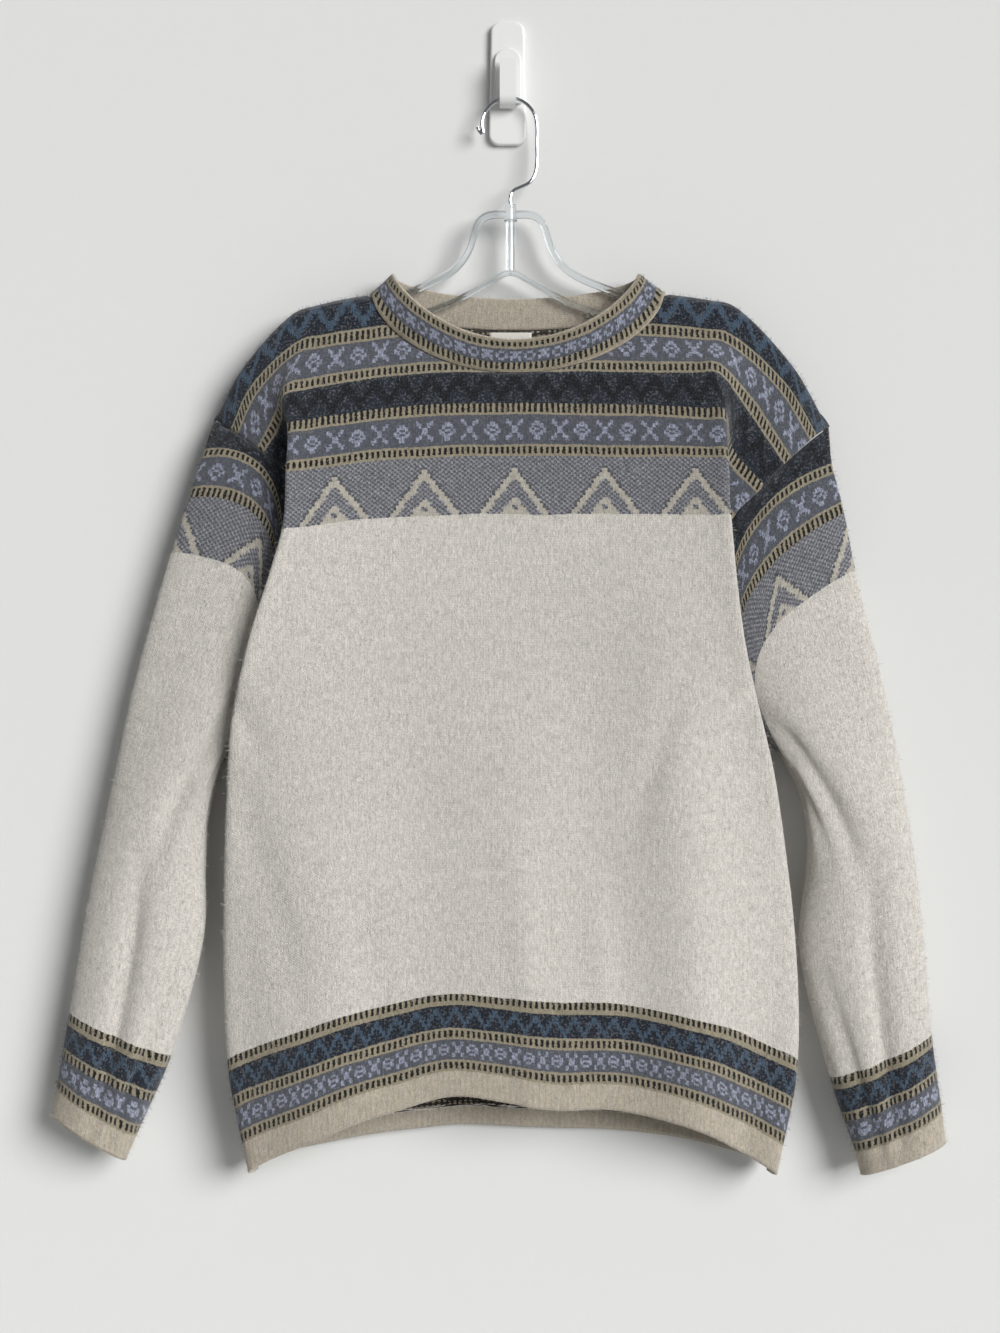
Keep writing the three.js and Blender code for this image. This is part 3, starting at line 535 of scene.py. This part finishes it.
def make_sleeve(side_name, materials, thickness):
    turns = np.linspace(-0.5, 0.5, 141)
    alongs = SLEEVE_START + (SLEEVE_LENGTH - SLEEVE_START) * np.linspace(0, 1, 181)
    points, round_it = sleeve_surface(side_name, turns, alongs)
    points[:, -1] = points[:, 0]
    uvs = cloth_uv(round_it, alongs[:, None])
    piece = piece_from_grid(f"sleeve_{side_name}_knit", points, uvs, materials, joined=True)
    middle = Vector(points[100].mean(axis=0)) * MM
    nearest = min(piece.data.polygons, key=lambda p: abs(p.center.z - middle.z) + 9 * (p.center.y > middle.y))
    if nearest.normal.dot(nearest.center - middle) < 0:
        piece.data.flip_normals()
    thicken(piece, thickness)
    return dress(piece, f"sleeve_{side_name}", "wool_knit")


BAND = {
    "half_width": 92, "middle_x": 6, "side_z": -151, "front_dip": 51, "back_dip": 16,
    "ahead": 22, "behind": 6.5, "wall": 1.7,
}


def band_top(turn):
    """The neckband's folded top edge: turn 0 is the middle of the front, a quarter is the right."""
    ahead = np.cos(turn)
    front, back = np.maximum(ahead, 0), np.maximum(-ahead, 0)
    dip = BAND["front_dip"] * front**1.54 + BAND["back_dip"] * back**1.3
    y = HANGER_Y - BAND["ahead"] * front**0.35 + BAND["behind"] * back**0.2
    return np.stack([BAND["middle_x"] + BAND["half_width"] * np.sin(turn), y, BAND["side_z"] - dip], axis=-1)


def neck_foot(turn):
    """The neck edge of the panels at each turn, and which way their wall faces there."""
    across = NECK_SHARE * np.sin(turn)
    foot = np.empty((len(turn), 3))
    for name, chosen in (("front", np.cos(turn) >= 0), ("back", np.cos(turn) < 0)):
        drop = neck_drop(PANELS[name], across[chosen])
        order = np.argsort(across[chosen])
        points, _ = panel_surface(name, across[chosen][order], drop[order][None, :])
        foot[np.flatnonzero(chosen)[order]] = points[0]
    up = np.abs(np.sin(turn))
    facing = np.stack([0.3 * np.sin(turn), -np.cos(turn), 0.15 + 0.85 * up], axis=-1)
    return foot, facing / np.linalg.norm(facing, axis=-1, keepdims=True)


def make_neckband(materials):
    turn = np.linspace(-pi, pi, 193)
    foot, facing = neck_foot(turn)
    foot -= facing * 0.9
    top = band_top(turn)
    rise = top - foot
    height = np.linalg.norm(rise, axis=-1, keepdims=True)
    rise /= height
    sideways = np.roll(top, -1, axis=0) - np.roll(top, 1, axis=0)
    sideways[0] = sideways[-1] = top[1] - top[-2]
    out = np.cross(rise, sideways)
    out /= np.linalg.norm(out, axis=-1, keepdims=True)
    out *= np.sign((out * facing).sum(axis=-1, keepdims=True))
    wall = BAND["wall"]
    # One profile goes up the outside, round the fold and down the inside.
    shares = np.linspace(0.015, 0.94, 12)
    outline = [(s, 1.0) for s in shares]
    outline += [(0.94 + 0.06 * sin(a), cos(a)) for a in np.linspace(0, pi, 9)[1:-1]]
    outline += [(s, -1.0) for s in shares[::-1]]
    points = np.array([foot + rise * height * up + out * wall * side for up, side in outline])
    points[:, -1] = points[:, 0]
    folded = np.interp(np.arange(len(outline)), [0, 11, 19, len(outline) - 1], [27, 2.2, -2.2, -27])
    round_it = np.concatenate([[0], np.cumsum(np.linalg.norm(np.diff((foot + top) / 2, axis=0), axis=1))])
    round_it -= round_it[len(turn) // 2]
    uvs = cloth_uv(round_it[None, :], folded[:, None])
    piece = piece_from_grid("neckband_knit", points, uvs, materials, joined=True)
    lowest = min(piece.data.polygons, key=lambda p: p.center.y)
    if lowest.normal.y > 0:
        piece.data.flip_normals()
    thicken(piece, 1.4)
    return dress(piece, "neckband", "neckband_knit")


def make_label(materials):
    """A plain woven tag sewn under the inside of the back neck, curving a little off the cloth."""
    across = np.linspace(-16, 16, 17)
    down = np.linspace(0, 30, 16)[:, None]
    x = 2 + across
    y = -13.4 - 0.5 * np.sin(pi * down / 30) * np.cos(pi * across / 34)
    points = np.stack(np.broadcast_arrays(x, y, -193 - down), axis=-1)
    piece = piece_from_grid("label_woven", points, cloth_uv(across, down), materials)
    turn_outwards(piece, (0, -1, 0))
    thicken(piece, 0.6)
    return dress(piece, "neck_label", "woven_label")


def make_nap(name, piece, materials, count, length, seed):
    """Loose fibres of felted wool that stand off a cloth's face, as thin blades joined in one mesh."""
    rng = np.random.default_rng(seed)
    mesh = piece.data
    polygons = len(mesh.polygons)
    area = np.empty(polygons)
    mesh.polygons.foreach_get("area", area)
    centre = np.empty(polygons * 3)
    mesh.polygons.foreach_get("center", centre)
    normal = np.empty(polygons * 3)
    mesh.polygons.foreach_get("normal", normal)
    centre, normal = centre.reshape(-1, 3), normal.reshape(-1, 3)
    chosen = rng.choice(polygons, count, p=area / area.sum())
    reach = np.sqrt(area[chosen])[:, None]
    root = centre[chosen] + rng.uniform(-0.4, 0.4, (count, 3)) * reach
    root -= normal[chosen] * ((root - centre[chosen]) * normal[chosen]).sum(axis=1, keepdims=True)
    lean = rng.normal(0, 1, (count, 3))
    lean -= normal[chosen] * (lean * normal[chosen]).sum(axis=1, keepdims=True)
    lean /= np.linalg.norm(lean, axis=1, keepdims=True)
    tall = length * MM * rng.uniform(0.4, 1.0, (count, 1)) ** 1.5
    side = np.cross(normal[chosen], lean) * 0.00008
    middle = root + normal[chosen] * tall * 0.6 + lean * tall * 0.4
    tip = root + normal[chosen] * tall * 0.8 + lean * tall * 1.1
    vertices = np.stack([root - side, root + side, middle + side, middle - side, tip], axis=1).reshape(-1, 3)
    first = np.arange(count)[:, None] * 5
    quads = (first + np.array([0, 1, 2, 3])).tolist()
    triangles = (first + np.array([3, 2, 4])).tolist()
    nap = bpy.data.meshes.new(name)
    nap.from_pydata(vertices.tolist(), [], quads + triangles)
    # Each blade takes the cloth colour under its root.
    source = mesh.uv_layers["Cloth"].data
    starts = np.empty(polygons, int)
    mesh.polygons.foreach_get("loop_start", starts)
    flat = np.empty(len(source) * 2)
    source.foreach_get("uv", flat)
    under = flat.reshape(-1, 2)[starts[chosen]]
    per_loop = np.concatenate([np.repeat(under, 4, axis=0), np.repeat(under, 3, axis=0)])
    layer = nap.uv_layers.new(name="Cloth")
    layer.data.foreach_set("uv", per_loop.ravel())
    obj = bpy.data.objects.new(name, nap)
    bpy.context.scene.collection.objects.link(obj)
    nap.materials.append(materials[0])
    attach(obj, "root")
    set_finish(obj, piece["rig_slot"])
    return obj


# ------------------------------------------------------------------ materials
def linear(code):
    """An sRGB hex colour as linear RGBA."""
    channels = (int(code[k : k + 2], 16) / 255 for k in (1, 3, 5))
    return (*(c / 12.92 if c <= 0.04045 else ((c + 0.055) / 1.055) ** 2.4 for c in channels), 1)


def node(tree, kind, inputs=(), **settings):
    """Adds a node, sets it up and feeds its inputs with sockets or constants."""
    made = tree.nodes.new(kind)
    for key, value in settings.items():
        setattr(made, key, value)
    for key, value in dict(inputs).items():
        socket = made.inputs[key]
        if isinstance(value, Value):
            value = value.socket
        if isinstance(value, bpy.types.NodeSocket):
            tree.links.new(value, socket)
        else:
            socket.default_value = value
    return made


class Value:
    """A number in a node tree that plain arithmetic can be written with."""

    def __init__(self, tree, socket):
        self.tree, self.socket = tree, socket

    def apply(self, operation, *others):
        made = node(self.tree, "ShaderNodeMath", enumerate((self, *others)), operation=operation)
        return Value(self.tree, made.outputs[0])

    def __add__(self, other):
        return self.apply("ADD", other)

    def __sub__(self, other):
        return self.apply("SUBTRACT", other)

    def __mul__(self, other):
        return self.apply("MULTIPLY", other)

    def __truediv__(self, other):
        return self.apply("DIVIDE", other)

    def __lt__(self, other):
        return self.apply("LESS_THAN", other)

    def __gt__(self, other):
        return self.apply("GREATER_THAN", other)

    def __abs__(self):
        return self.apply("ABSOLUTE")

    def __and__(self, other):
        return self.apply("MINIMUM", other)

    def __or__(self, other):
        return self.apply("MAXIMUM", other)

    def wave(self, period, shift=0.0):
        """Distance from the nearest multiple of the period, so 0 to half a period."""
        return abs((self / period + (shift + 0.5)).apply("FLOORED_MODULO", 1.0) - 0.5) * period

    def centred(self, period, shift=0.0):
        """Signed place within a period, from minus to plus half of it."""
        return ((self / period + (shift + 0.5)).apply("FLOORED_MODULO", 1.0) - 0.5) * period


INK = {
    "cream": "#D5D0C8", "tan": "#B9AC98", "ladder_tan": "#99907C", "black": "#14110E",
    "navy": "#04060A", "navy_ground": "#1C232D", "slate": "#53565E", "lilac": "#A0A5B8",
    "blue": "#141D29", "light_blue": "#4A5D70", "grey": "#5C5D64", "light_grey": "#9D9DA1",
    "dark_grey": "#47484E", "chevron": "#B8B2A6", "fleck": "#85878C",
}

# Bands as (from, to, motif, ground); millimetres of cloth.
YOKE_BANDS = (
    (0, 28, "zigzag_blue", "blue"),
    (28, 38, "ladder", "ladder_tan"),
    (38, 59, "xo", "slate"),
    (59, 68, "ladder", "ladder_tan"),
    (68, 92, "zigzag_navy", "navy_ground"),
    (92, 102, "ladder", "ladder_tan"),
    (102, 124, "xo", "slate"),
    (124, 133, "ladder", "ladder_tan"),
    (133, 176, "birdseye", "grey"),
)


def edge_bands(start, facing_from):
    """The bands that end a piece: a row of dashes, blue, a ladder, small figures, dashes and tan rib."""
    return (
        (start, start + 8, "dashes", "ladder_tan"),
        (start + 8, start + 26, "zigzag_small", "blue"),
        (start + 26, start + 34, "ladder", "ladder_tan"),
        (start + 34, start + 51, "xo_small", "slate"),
        (start + 51, start + 59, "dashes_below", "ladder_tan"),
        (facing_from, facing_from + 60, "rib", "tan"),
    )


FRONT_BANDS = (*YOKE_BANDS, *edge_bands(534, 593))
BACK_BANDS = (*YOKE_BANDS, *edge_bands(566, 626))
SLEEVE_BANDS = (
    (0, 28, "zigzag_navy", "navy_ground"),
    (28, 37, "ladder", "ladder_tan"),
    (37, 60, "xo", "slate"),
    (60, 69, "ladder", "ladder_tan"),
    (69, 111, "birdseye", "grey"),
    *edge_bands(462, 521),
)
# The neckband's cloth runs from -27 at the inner edge, over the fold at 0, to 27 at the neck seam.
NECK_BANDS = (
    (-40, 2, "rib", "tan"),
    (2, 8.5, "ladder", "ladder_tan"),
    (8.5, 19, "xo_small", "slate"),
    (19, 26, "ladder", "ladder_tan"),
    (26, 40, "plain", "tan"),
)


def motif_figure(motif, u, d, height):
    """(mask, colour) layers of a traditional motif; d is measured down from the band's top."""
    odd = u.wave(2 * STITCH, 0.25) < STITCH / 2
    if motif in ("ladder", "dashes", "dashes_below"):
        middle = {"ladder": 0.5, "dashes": 0.38, "dashes_below": 0.58}[motif] * height
        return [(odd & (abs(d - middle) < height * 0.34), "black")]
    if motif == "rib":
        return [(odd, "chevron")]
    if motif.startswith("xo"):
        small = motif.endswith("small")
        pitch = (10 if small else 16) * STITCH
        wide, tall = (4.3, height * 0.33) if small else (6.0, 7.4)
        x, y = u.centred(pitch), d - height / 2
        cross = (abs(abs(x) * (tall / wide) - abs(y)) < 1.9) & (abs(x) < wide + 0.5) & (abs(y) < tall)
        ring = abs(u.centred(pitch, 0.5)) / wide + abs(y) / tall
        diamond = (ring < 1.12) & (ring > 0.62) | (ring < 0.32)
        return [(cross | diamond, "lilac")]
    if motif.startswith("zigzag"):
        period, thick, ink = {
            "zigzag_navy": (10 * STITCH, 9, "navy"),
            "zigzag_blue": (12 * STITCH, 8.5, "light_blue"),
            "zigzag_small": (7 * STITCH, 5.5, "light_blue"),
        }[motif]
        line = u.wave(period) * (2 * (height - thick) / period) + thick / 2
        return [(abs(d - line) < thick / 2, ink)]
    if motif == "birdseye":
        speck = abs(odd - (d.wave(2 * ROW, 0.25) < ROW / 2)) > 0.5
        x = abs(u.centred(32 * STITCH))
        fall = d - 8 - x * (34 / 25)
        edge = (fall > -2.4) & (fall < 0.0)
        chevron = (fall > 0.0) & (fall < 7.5)
        peak = d - (height - 13) - x * (13 / 11)
        dot = (x < 1.6) & (abs(d - (height - 4)) < 2)
        return [
            (speck, "light_grey"), (edge, "dark_grey"), (chevron, "chevron"),
            ((peak > 0.0) & (dot < 0.5), "chevron"),
        ]
    return []


def mix_colour(tree, factor, under, over):
    made = node(tree, "ShaderNodeMix", {"Factor": factor, 6: under, 7: over}, data_type="RGBA")
    return made.outputs[2]


def knit_material(name, bands, wrong_side=False):
    """Felted fair isle wool: soft nap, heathered yarn and its colour bands charted in stitches."""
    material = bpy.data.materials.new(name)
    material.use_nodes = True
    tree = material.node_tree
    tree.nodes.clear()
    cloth = node(tree, "ShaderNodeSeparateXYZ", {0: node(tree, "ShaderNodeUVMap", uv_map="Cloth").outputs[0]})
    u = Value(tree, cloth.outputs[0]) * 1000
    d = Value(tree, cloth.outputs[1]) * -1000
    place = node(tree, "ShaderNodeTexCoord").outputs["Object"]

    def noise(scale, detail=2.0, at=place, **more):
        inputs = {"Vector": at, "Scale": scale, "Detail": detail, **more}
        return Value(tree, node(tree, "ShaderNodeTexNoise", inputs).outputs["Fac"])

    # Rows and columns wander a little, as hand tension does, before they are cut into stitches.
    wander = noise(60) - 0.5
    drift = noise(22) - 0.5
    frayed = noise(800, 3.0) - 0.5
    wu, wd = u + wander * 2.0 + frayed * 2.6, d + drift * 3.0 + frayed * 2.2
    su = (wu / STITCH).apply("FLOOR") * STITCH + STITCH / 2
    sd = (wd / ROW).apply("FLOOR") * ROW + ROW / 2
    colour = linear(INK["cream"])
    fibres_at = node(tree, "ShaderNodeCombineXYZ", {0: u * 0.95, 1: d * 0.42, 2: 0.0}).outputs[0]
    felted = noise(1.0, 4.0, at=fibres_at)
    cover = ((felted - 0.34) * 4.2).apply("MAXIMUM", 0.5).apply("MINIMUM", 1.0)
    fleck = ((noise(620, 3.0) - 0.52) * 3.0).apply("MAXIMUM", 0.0).apply("MINIMUM", 0.42)
    columns = node(tree, "ShaderNodeCombineXYZ", {0: u * 0.42, 1: d * 0.13, 2: 0.0}).outputs[0]
    heather = (noise(900, 3.0) - 0.5) * 1.0 + (noise(1.0, 3.0, at=columns) - 0.5) * 1.3 + (felted - 0.5) * 1.3
    for start, end, motif, ground in bands:
        inside = (sd > start) & (sd < end)
        band = linear(INK[ground])
        if ground not in ("tan", "ladder_tan"):
            band = mix_colour(tree, fleck, band, linear(INK["fleck"]))
        for mask, ink in motif_figure(motif, su, sd - start, end - start):
            solid = ink in ("black", "chevron")
            band = mix_colour(tree, mask if solid else mask * cover, band, linear(INK[ink]))
        colour = mix_colour(tree, inside, colour, band)
    if wrong_side:
        # Yarn carried behind the pattern lies as dark strands across it.
        strands = noise(1.0, 2.0, at=node(
            tree, "ShaderNodeCombineXYZ", {0: u * 0.05, 1: d * 0.55, 2: 0.0}).outputs[0])
        edge_from, facing_from = bands[-6][0], bands[-1][0]
        in_pattern = (d < max(band[1] for band in bands[:-6])) | ((d > edge_from) & (d < facing_from))
        colour = mix_colour(tree, in_pattern & (strands > 0.5), colour, linear("#2A2622"))
        colour = mix_colour(tree, in_pattern & (strands < 0.38), colour, linear("#8A8276"))
    # Heathered yarn: each stitch and fibre a shade lighter or darker than the next.
    lift = node(tree, "ShaderNodeHueSaturation", {"Value": heather * 0.52 + 1.0, "Color": colour})
    soft = noise(9, 2.0) * 0.10 + 0.95
    shaded = node(tree, "ShaderNodeHueSaturation", {"Value": soft, "Color": lift.outputs[0]})
    # A stitch is a V: two plump strands leaning together, deepest between columns.
    lean = abs(wu.centred(STITCH)) / STITCH
    strand = (wd / ROW + lean * 1.3).apply("FLOORED_MODULO", 1.0) - 0.5
    plump = (abs(strand) * -1.6 + 1.0) * (lean * -0.9 + 1.0)
    height = plump * 0.5 + noise(1500, 3.0) * 0.5 + noise(420, 2.0) * 0.7 + felted * 0.8
    bump = node(tree, "ShaderNodeBump", {"Strength": 0.75, "Distance": 0.0010, "Height": height})
    shader = node(tree, "ShaderNodeBsdfPrincipled", {
        "Base Color": shaded.outputs[0], "Roughness": 0.96, "Normal": bump.outputs[0],
        "Sheen Weight": 0.35, "Sheen Roughness": 0.55, "Specular IOR Level": 0.12,
    })
    output = node(tree, "ShaderNodeOutputMaterial", {0: shader.outputs[0]})
    output.is_active_output = True
    return material


def plain_material(name, code, noise_scale=0.0, grain=0.0, **settings):
    """A one-colour finish with an optional fine grain in its surface."""
    material = bpy.data.materials.new(name)
    material.use_nodes = True
    tree = material.node_tree
    shader = tree.nodes["Principled BSDF"]
    shader.inputs["Base Color"].default_value = linear(code)
    for key, value in settings.items():
        shader.inputs[key.replace("_", " ")].default_value = value
    if grain:
        place = node(tree, "ShaderNodeTexCoord").outputs["Object"]
        texture = node(tree, "ShaderNodeTexNoise", {"Vector": place, "Scale": noise_scale, "Detail": 3.0})
        bump = node(tree, "ShaderNodeBump", {
            "Height": texture.outputs["Fac"], "Strength": grain, "Distance": 0.0005,
        })
        tree.links.new(bump.outputs[0], shader.inputs["Normal"])
    return material


# ------------------------------------------------------------------ settings
class JumperCloth(bpy.types.PropertyGroup):
    """How the knitted cloth is made."""

    thickness: bpy.props.FloatProperty(
        name="Thickness", description="Wall of the felted knit, in millimetres", default=1.6, min=0.5, max=3.0
    )
    fibres: bpy.props.IntProperty(
        name="Fibres", description="Loose fibres on each panel of the body", default=34000, min=0, max=60000
    )
    nap: bpy.props.FloatProperty(
        name="Nap",
        description="How far the loose fibres stand off, in millimetres",
        default=4.2,
        min=0.0,
        max=6.0,
    )


class JumperStage(bpy.types.PropertyGroup):
    """The studio round the jumper."""

    distance: bpy.props.FloatProperty(
        name="Camera distance", description="From the cloth to the camera", default=1.55, unit="LENGTH"
    )
    height: bpy.props.FloatProperty(
        name="Frame height", description="What the picture spans, top to bottom", default=1.0, unit="LENGTH"
    )
    key: bpy.props.FloatProperty(
        name="Key light", description="Strength of the broad light from the right", default=3.1
    )
    fill: bpy.props.FloatProperty(name="Fill", description="Brightness of the surroundings", default=0.17)


def settings():
    return bpy.context.scene.jumper_cloth, bpy.context.scene.jumper_stage


CLOTH = {}


def cloth_materials():
    """The knit's finishes, right side and wrong side, made once."""
    if not CLOTH:
        CLOTH["front"] = [
            knit_material("felted_fair_isle_knit_front", FRONT_BANDS),
            knit_material("felted_fair_isle_knit_front_wrong_side", FRONT_BANDS, wrong_side=True),
        ]
        CLOTH["back"] = [
            knit_material("felted_fair_isle_knit_back", BACK_BANDS),
            knit_material("felted_fair_isle_knit_back_wrong_side", BACK_BANDS, wrong_side=True),
        ]
        CLOTH["sleeve"] = [
            knit_material("felted_fair_isle_knit_sleeve", SLEEVE_BANDS),
            knit_material("felted_fair_isle_knit_sleeve_wrong_side", SLEEVE_BANDS, wrong_side=True),
        ]
        CLOTH["neck"] = [knit_material("felted_fair_isle_knit_neckband", NECK_BANDS)] * 2
    return CLOTH


# ------------------------------------------------------------------ operators
class JUMPER_OT_panels(bpy.types.Operator):
    """Builds the front and the back"""

    bl_idname = "jumper.panels"
    bl_label = "Front and back"

    def execute(self, context):
        cloth, _ = settings()
        for seed, name in enumerate(("front", "back")):
            materials = cloth_materials()[name]
            piece = make_panel(name, materials, cloth.thickness)
            nap = make_nap(f"{name}_nap", piece, materials, cloth.fibres, cloth.nap, seed)
            length = PANELS[name]["length"] / 1000
        return {"FINISHED"}


class JUMPER_OT_sleeves(bpy.types.Operator):
    """Builds both sleeves"""

    bl_idname = "jumper.sleeves"
    bl_label = "Sleeves"

    def execute(self, context):
        cloth, _ = settings()
        for seed, name in enumerate(("left", "right"), start=5):
            materials = cloth_materials()["sleeve"]
            piece = make_sleeve(name, materials, cloth.thickness)
            nap = make_nap(f"sleeve_{name}_nap", piece, materials, cloth.fibres // 2, cloth.nap, seed)
        return {"FINISHED"}


class JUMPER_OT_neckband(bpy.types.Operator):
    """Builds the folded neckband and the blank label under it"""

    bl_idname = "jumper.neckband"
    bl_label = "Neckband and label"

    def execute(self, context):
        cloth, _ = settings()
        materials = cloth_materials()["neck"]
        band = make_neckband(materials)
        nap = make_nap("neckband_nap", band, materials, cloth.fibres // 8, cloth.nap * 0.7, 9)
        woven = plain_material("woven_polyester_label", "#DDD9D0", 2200, 0.4, Roughness=0.7)
        label = make_label([woven, woven])
        return {"FINISHED"}


class JUMPER_OT_hard_parts(bpy.types.Operator):
    """Gives the hanger, its wire and the wall hook their finishes"""

    bl_idname = "jumper.hard_parts"
    bl_label = "Hanger and wall hook"

    def execute(self, context):
        finishes = {
            ("hanger",): plain_material(
                "injection_moulded_clear_polystyrene",
                "#F2F6F8",
                Roughness=0.06,
                IOR=1.55,
                Transmission_Weight=1.0,
            ),
            ("hanger_hook",): plain_material(
                "bright_chromed_steel_wire", "#C8CBCE", 3000, 0.02, Roughness=0.12, Metallic=1.0
            ),
            ("wall_plate", "wall_hook"): plain_material(
                "satin_white_moulded_abs", "#EDEDEB", 1400, 0.05, Roughness=0.34, Coat_Weight=0.15
            ),
        }
        for names, material in finishes.items():
            for name in names:
                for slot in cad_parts[name].material_slots:
                    slot.material = material
        return {"FINISHED"}


# The window's broad light: where it stands from the cloth, and how wide it looks in degrees.
WINDOW = {"towards": (0.62, -0.72, 0.3), "spread": 34}


class JUMPER_OT_stage(bpy.types.Operator):
    """Sets the pale wall and floor, the soft light from the right and the camera"""

    bl_idname = "jumper.stage"
    bl_label = "Stage"

    def execute(self, context):
        _, stage = settings()
        scene = context.scene
        paint = plain_material("matt_white_wall_paint", "#E4E4E2", 420, 0.08, Roughness=0.9)
        floor_paint = plain_material("pale_floor", "#DADAD8", Roughness=0.85)
        hide_from_behind(paint)
        wall = flat_sheet("stage_wall", (4, 4), (0, 0.0004, -0.6), (radians(90), 0, 0), paint)
        floor = flat_sheet("stage_floor", (4, 4), (0, -1.9, -1.55), (0, 0, 0), floor_paint)
        data = bpy.data.lights.new("window", "SUN")
        data.energy, data.angle = stage.key, radians(WINDOW["spread"])
        window = bpy.data.objects.new("window", data)
        window.rotation_euler = Vector(WINDOW["towards"]).to_track_quat("Z", "Y").to_euler()
        scene.collection.objects.link(window)
        world = bpy.data.worlds.new("studio")
        world.use_nodes = True
        background = world.node_tree.nodes["Background"]
        background.inputs["Color"].default_value = (0.95, 0.97, 1.0, 1.0)
        background.inputs["Strength"].default_value = stage.fill
        scene.world = world
        data = bpy.data.cameras.new("front_camera")
        data.sensor_width = 36
        data.lens = 36 * stage.distance / stage.height
        camera = bpy.data.objects.new("front_camera", data)
        camera.location = (-0.006, -0.035 - stage.distance, -0.447)
        camera.rotation_euler = (radians(90), 0, 0)
        scene.collection.objects.link(camera)
        scene.camera = camera
        scene.view_settings.view_transform = "Standard"
        return {"FINISHED"}


def hide_from_behind(material):
    """The wall is clear from its back, so that the back of the jumper can be seen."""
    tree = material.node_tree
    shader, output = tree.nodes["Principled BSDF"], tree.nodes["Material Output"]
    behind = node(tree, "ShaderNodeNewGeometry").outputs["Backfacing"]
    clear = node(tree, "ShaderNodeBsdfTransparent").outputs[0]
    mixed = node(tree, "ShaderNodeMixShader", {0: behind, 1: shader.outputs[0], 2: clear})
    tree.links.new(mixed.outputs[0], output.inputs["Surface"])


def flat_sheet(name, size, location, turn, material):
    bm = bmesh.new()
    bmesh.ops.create_grid(bm, x_segments=1, y_segments=1, size=0.5)
    for v in bm.verts:
        flat = Vector((v.co.x * size[0], v.co.y * size[1], 0))
        v.co = Matrix.Rotation(turn[0], 3, "X") @ flat + Vector(location)
    mesh = bpy.data.meshes.new(name)
    bm.to_mesh(mesh)
    bm.free()
    mesh.materials.append(material)
    obj = bpy.data.objects.new(name, mesh)
    bpy.context.scene.collection.objects.link(obj)
    return obj


class JUMPER_PT_panel(bpy.types.Panel):
    bl_label = "Fair Isle Jumper"
    bl_idname = "JUMPER_PT_panel"
    bl_space_type = "VIEW_3D"
    bl_region_type = "UI"
    bl_category = "Jumper"

    def draw(self, context):
        cloth, stage = settings()
        for group in (cloth, stage):
            for name in group.__annotations__:
                self.layout.prop(group, name)
        for step in STEPS:
            self.layout.operator(step.bl_idname)


STEPS = (
    JUMPER_OT_panels, JUMPER_OT_sleeves, JUMPER_OT_neckband, JUMPER_OT_hard_parts, JUMPER_OT_stage,
)
CLASSES = (JumperCloth, JumperStage, *STEPS, JUMPER_PT_panel)


def register():
    for c in CLASSES:
        bpy.utils.register_class(c)
    bpy.types.Scene.jumper_cloth = bpy.props.PointerProperty(type=JumperCloth)
    bpy.types.Scene.jumper_stage = bpy.props.PointerProperty(type=JumperStage)


def unregister():
    del bpy.types.Scene.jumper_cloth
    del bpy.types.Scene.jumper_stage
    for c in reversed(CLASSES):
        bpy.utils.unregister_class(c)


def main():
    register()
    bpy.ops.jumper.panels()
    bpy.ops.jumper.sleeves()
    bpy.ops.jumper.neckband()
    bpy.ops.jumper.hard_parts()
    bpy.ops.jumper.stage()


if __name__ == "__main__":
    main()
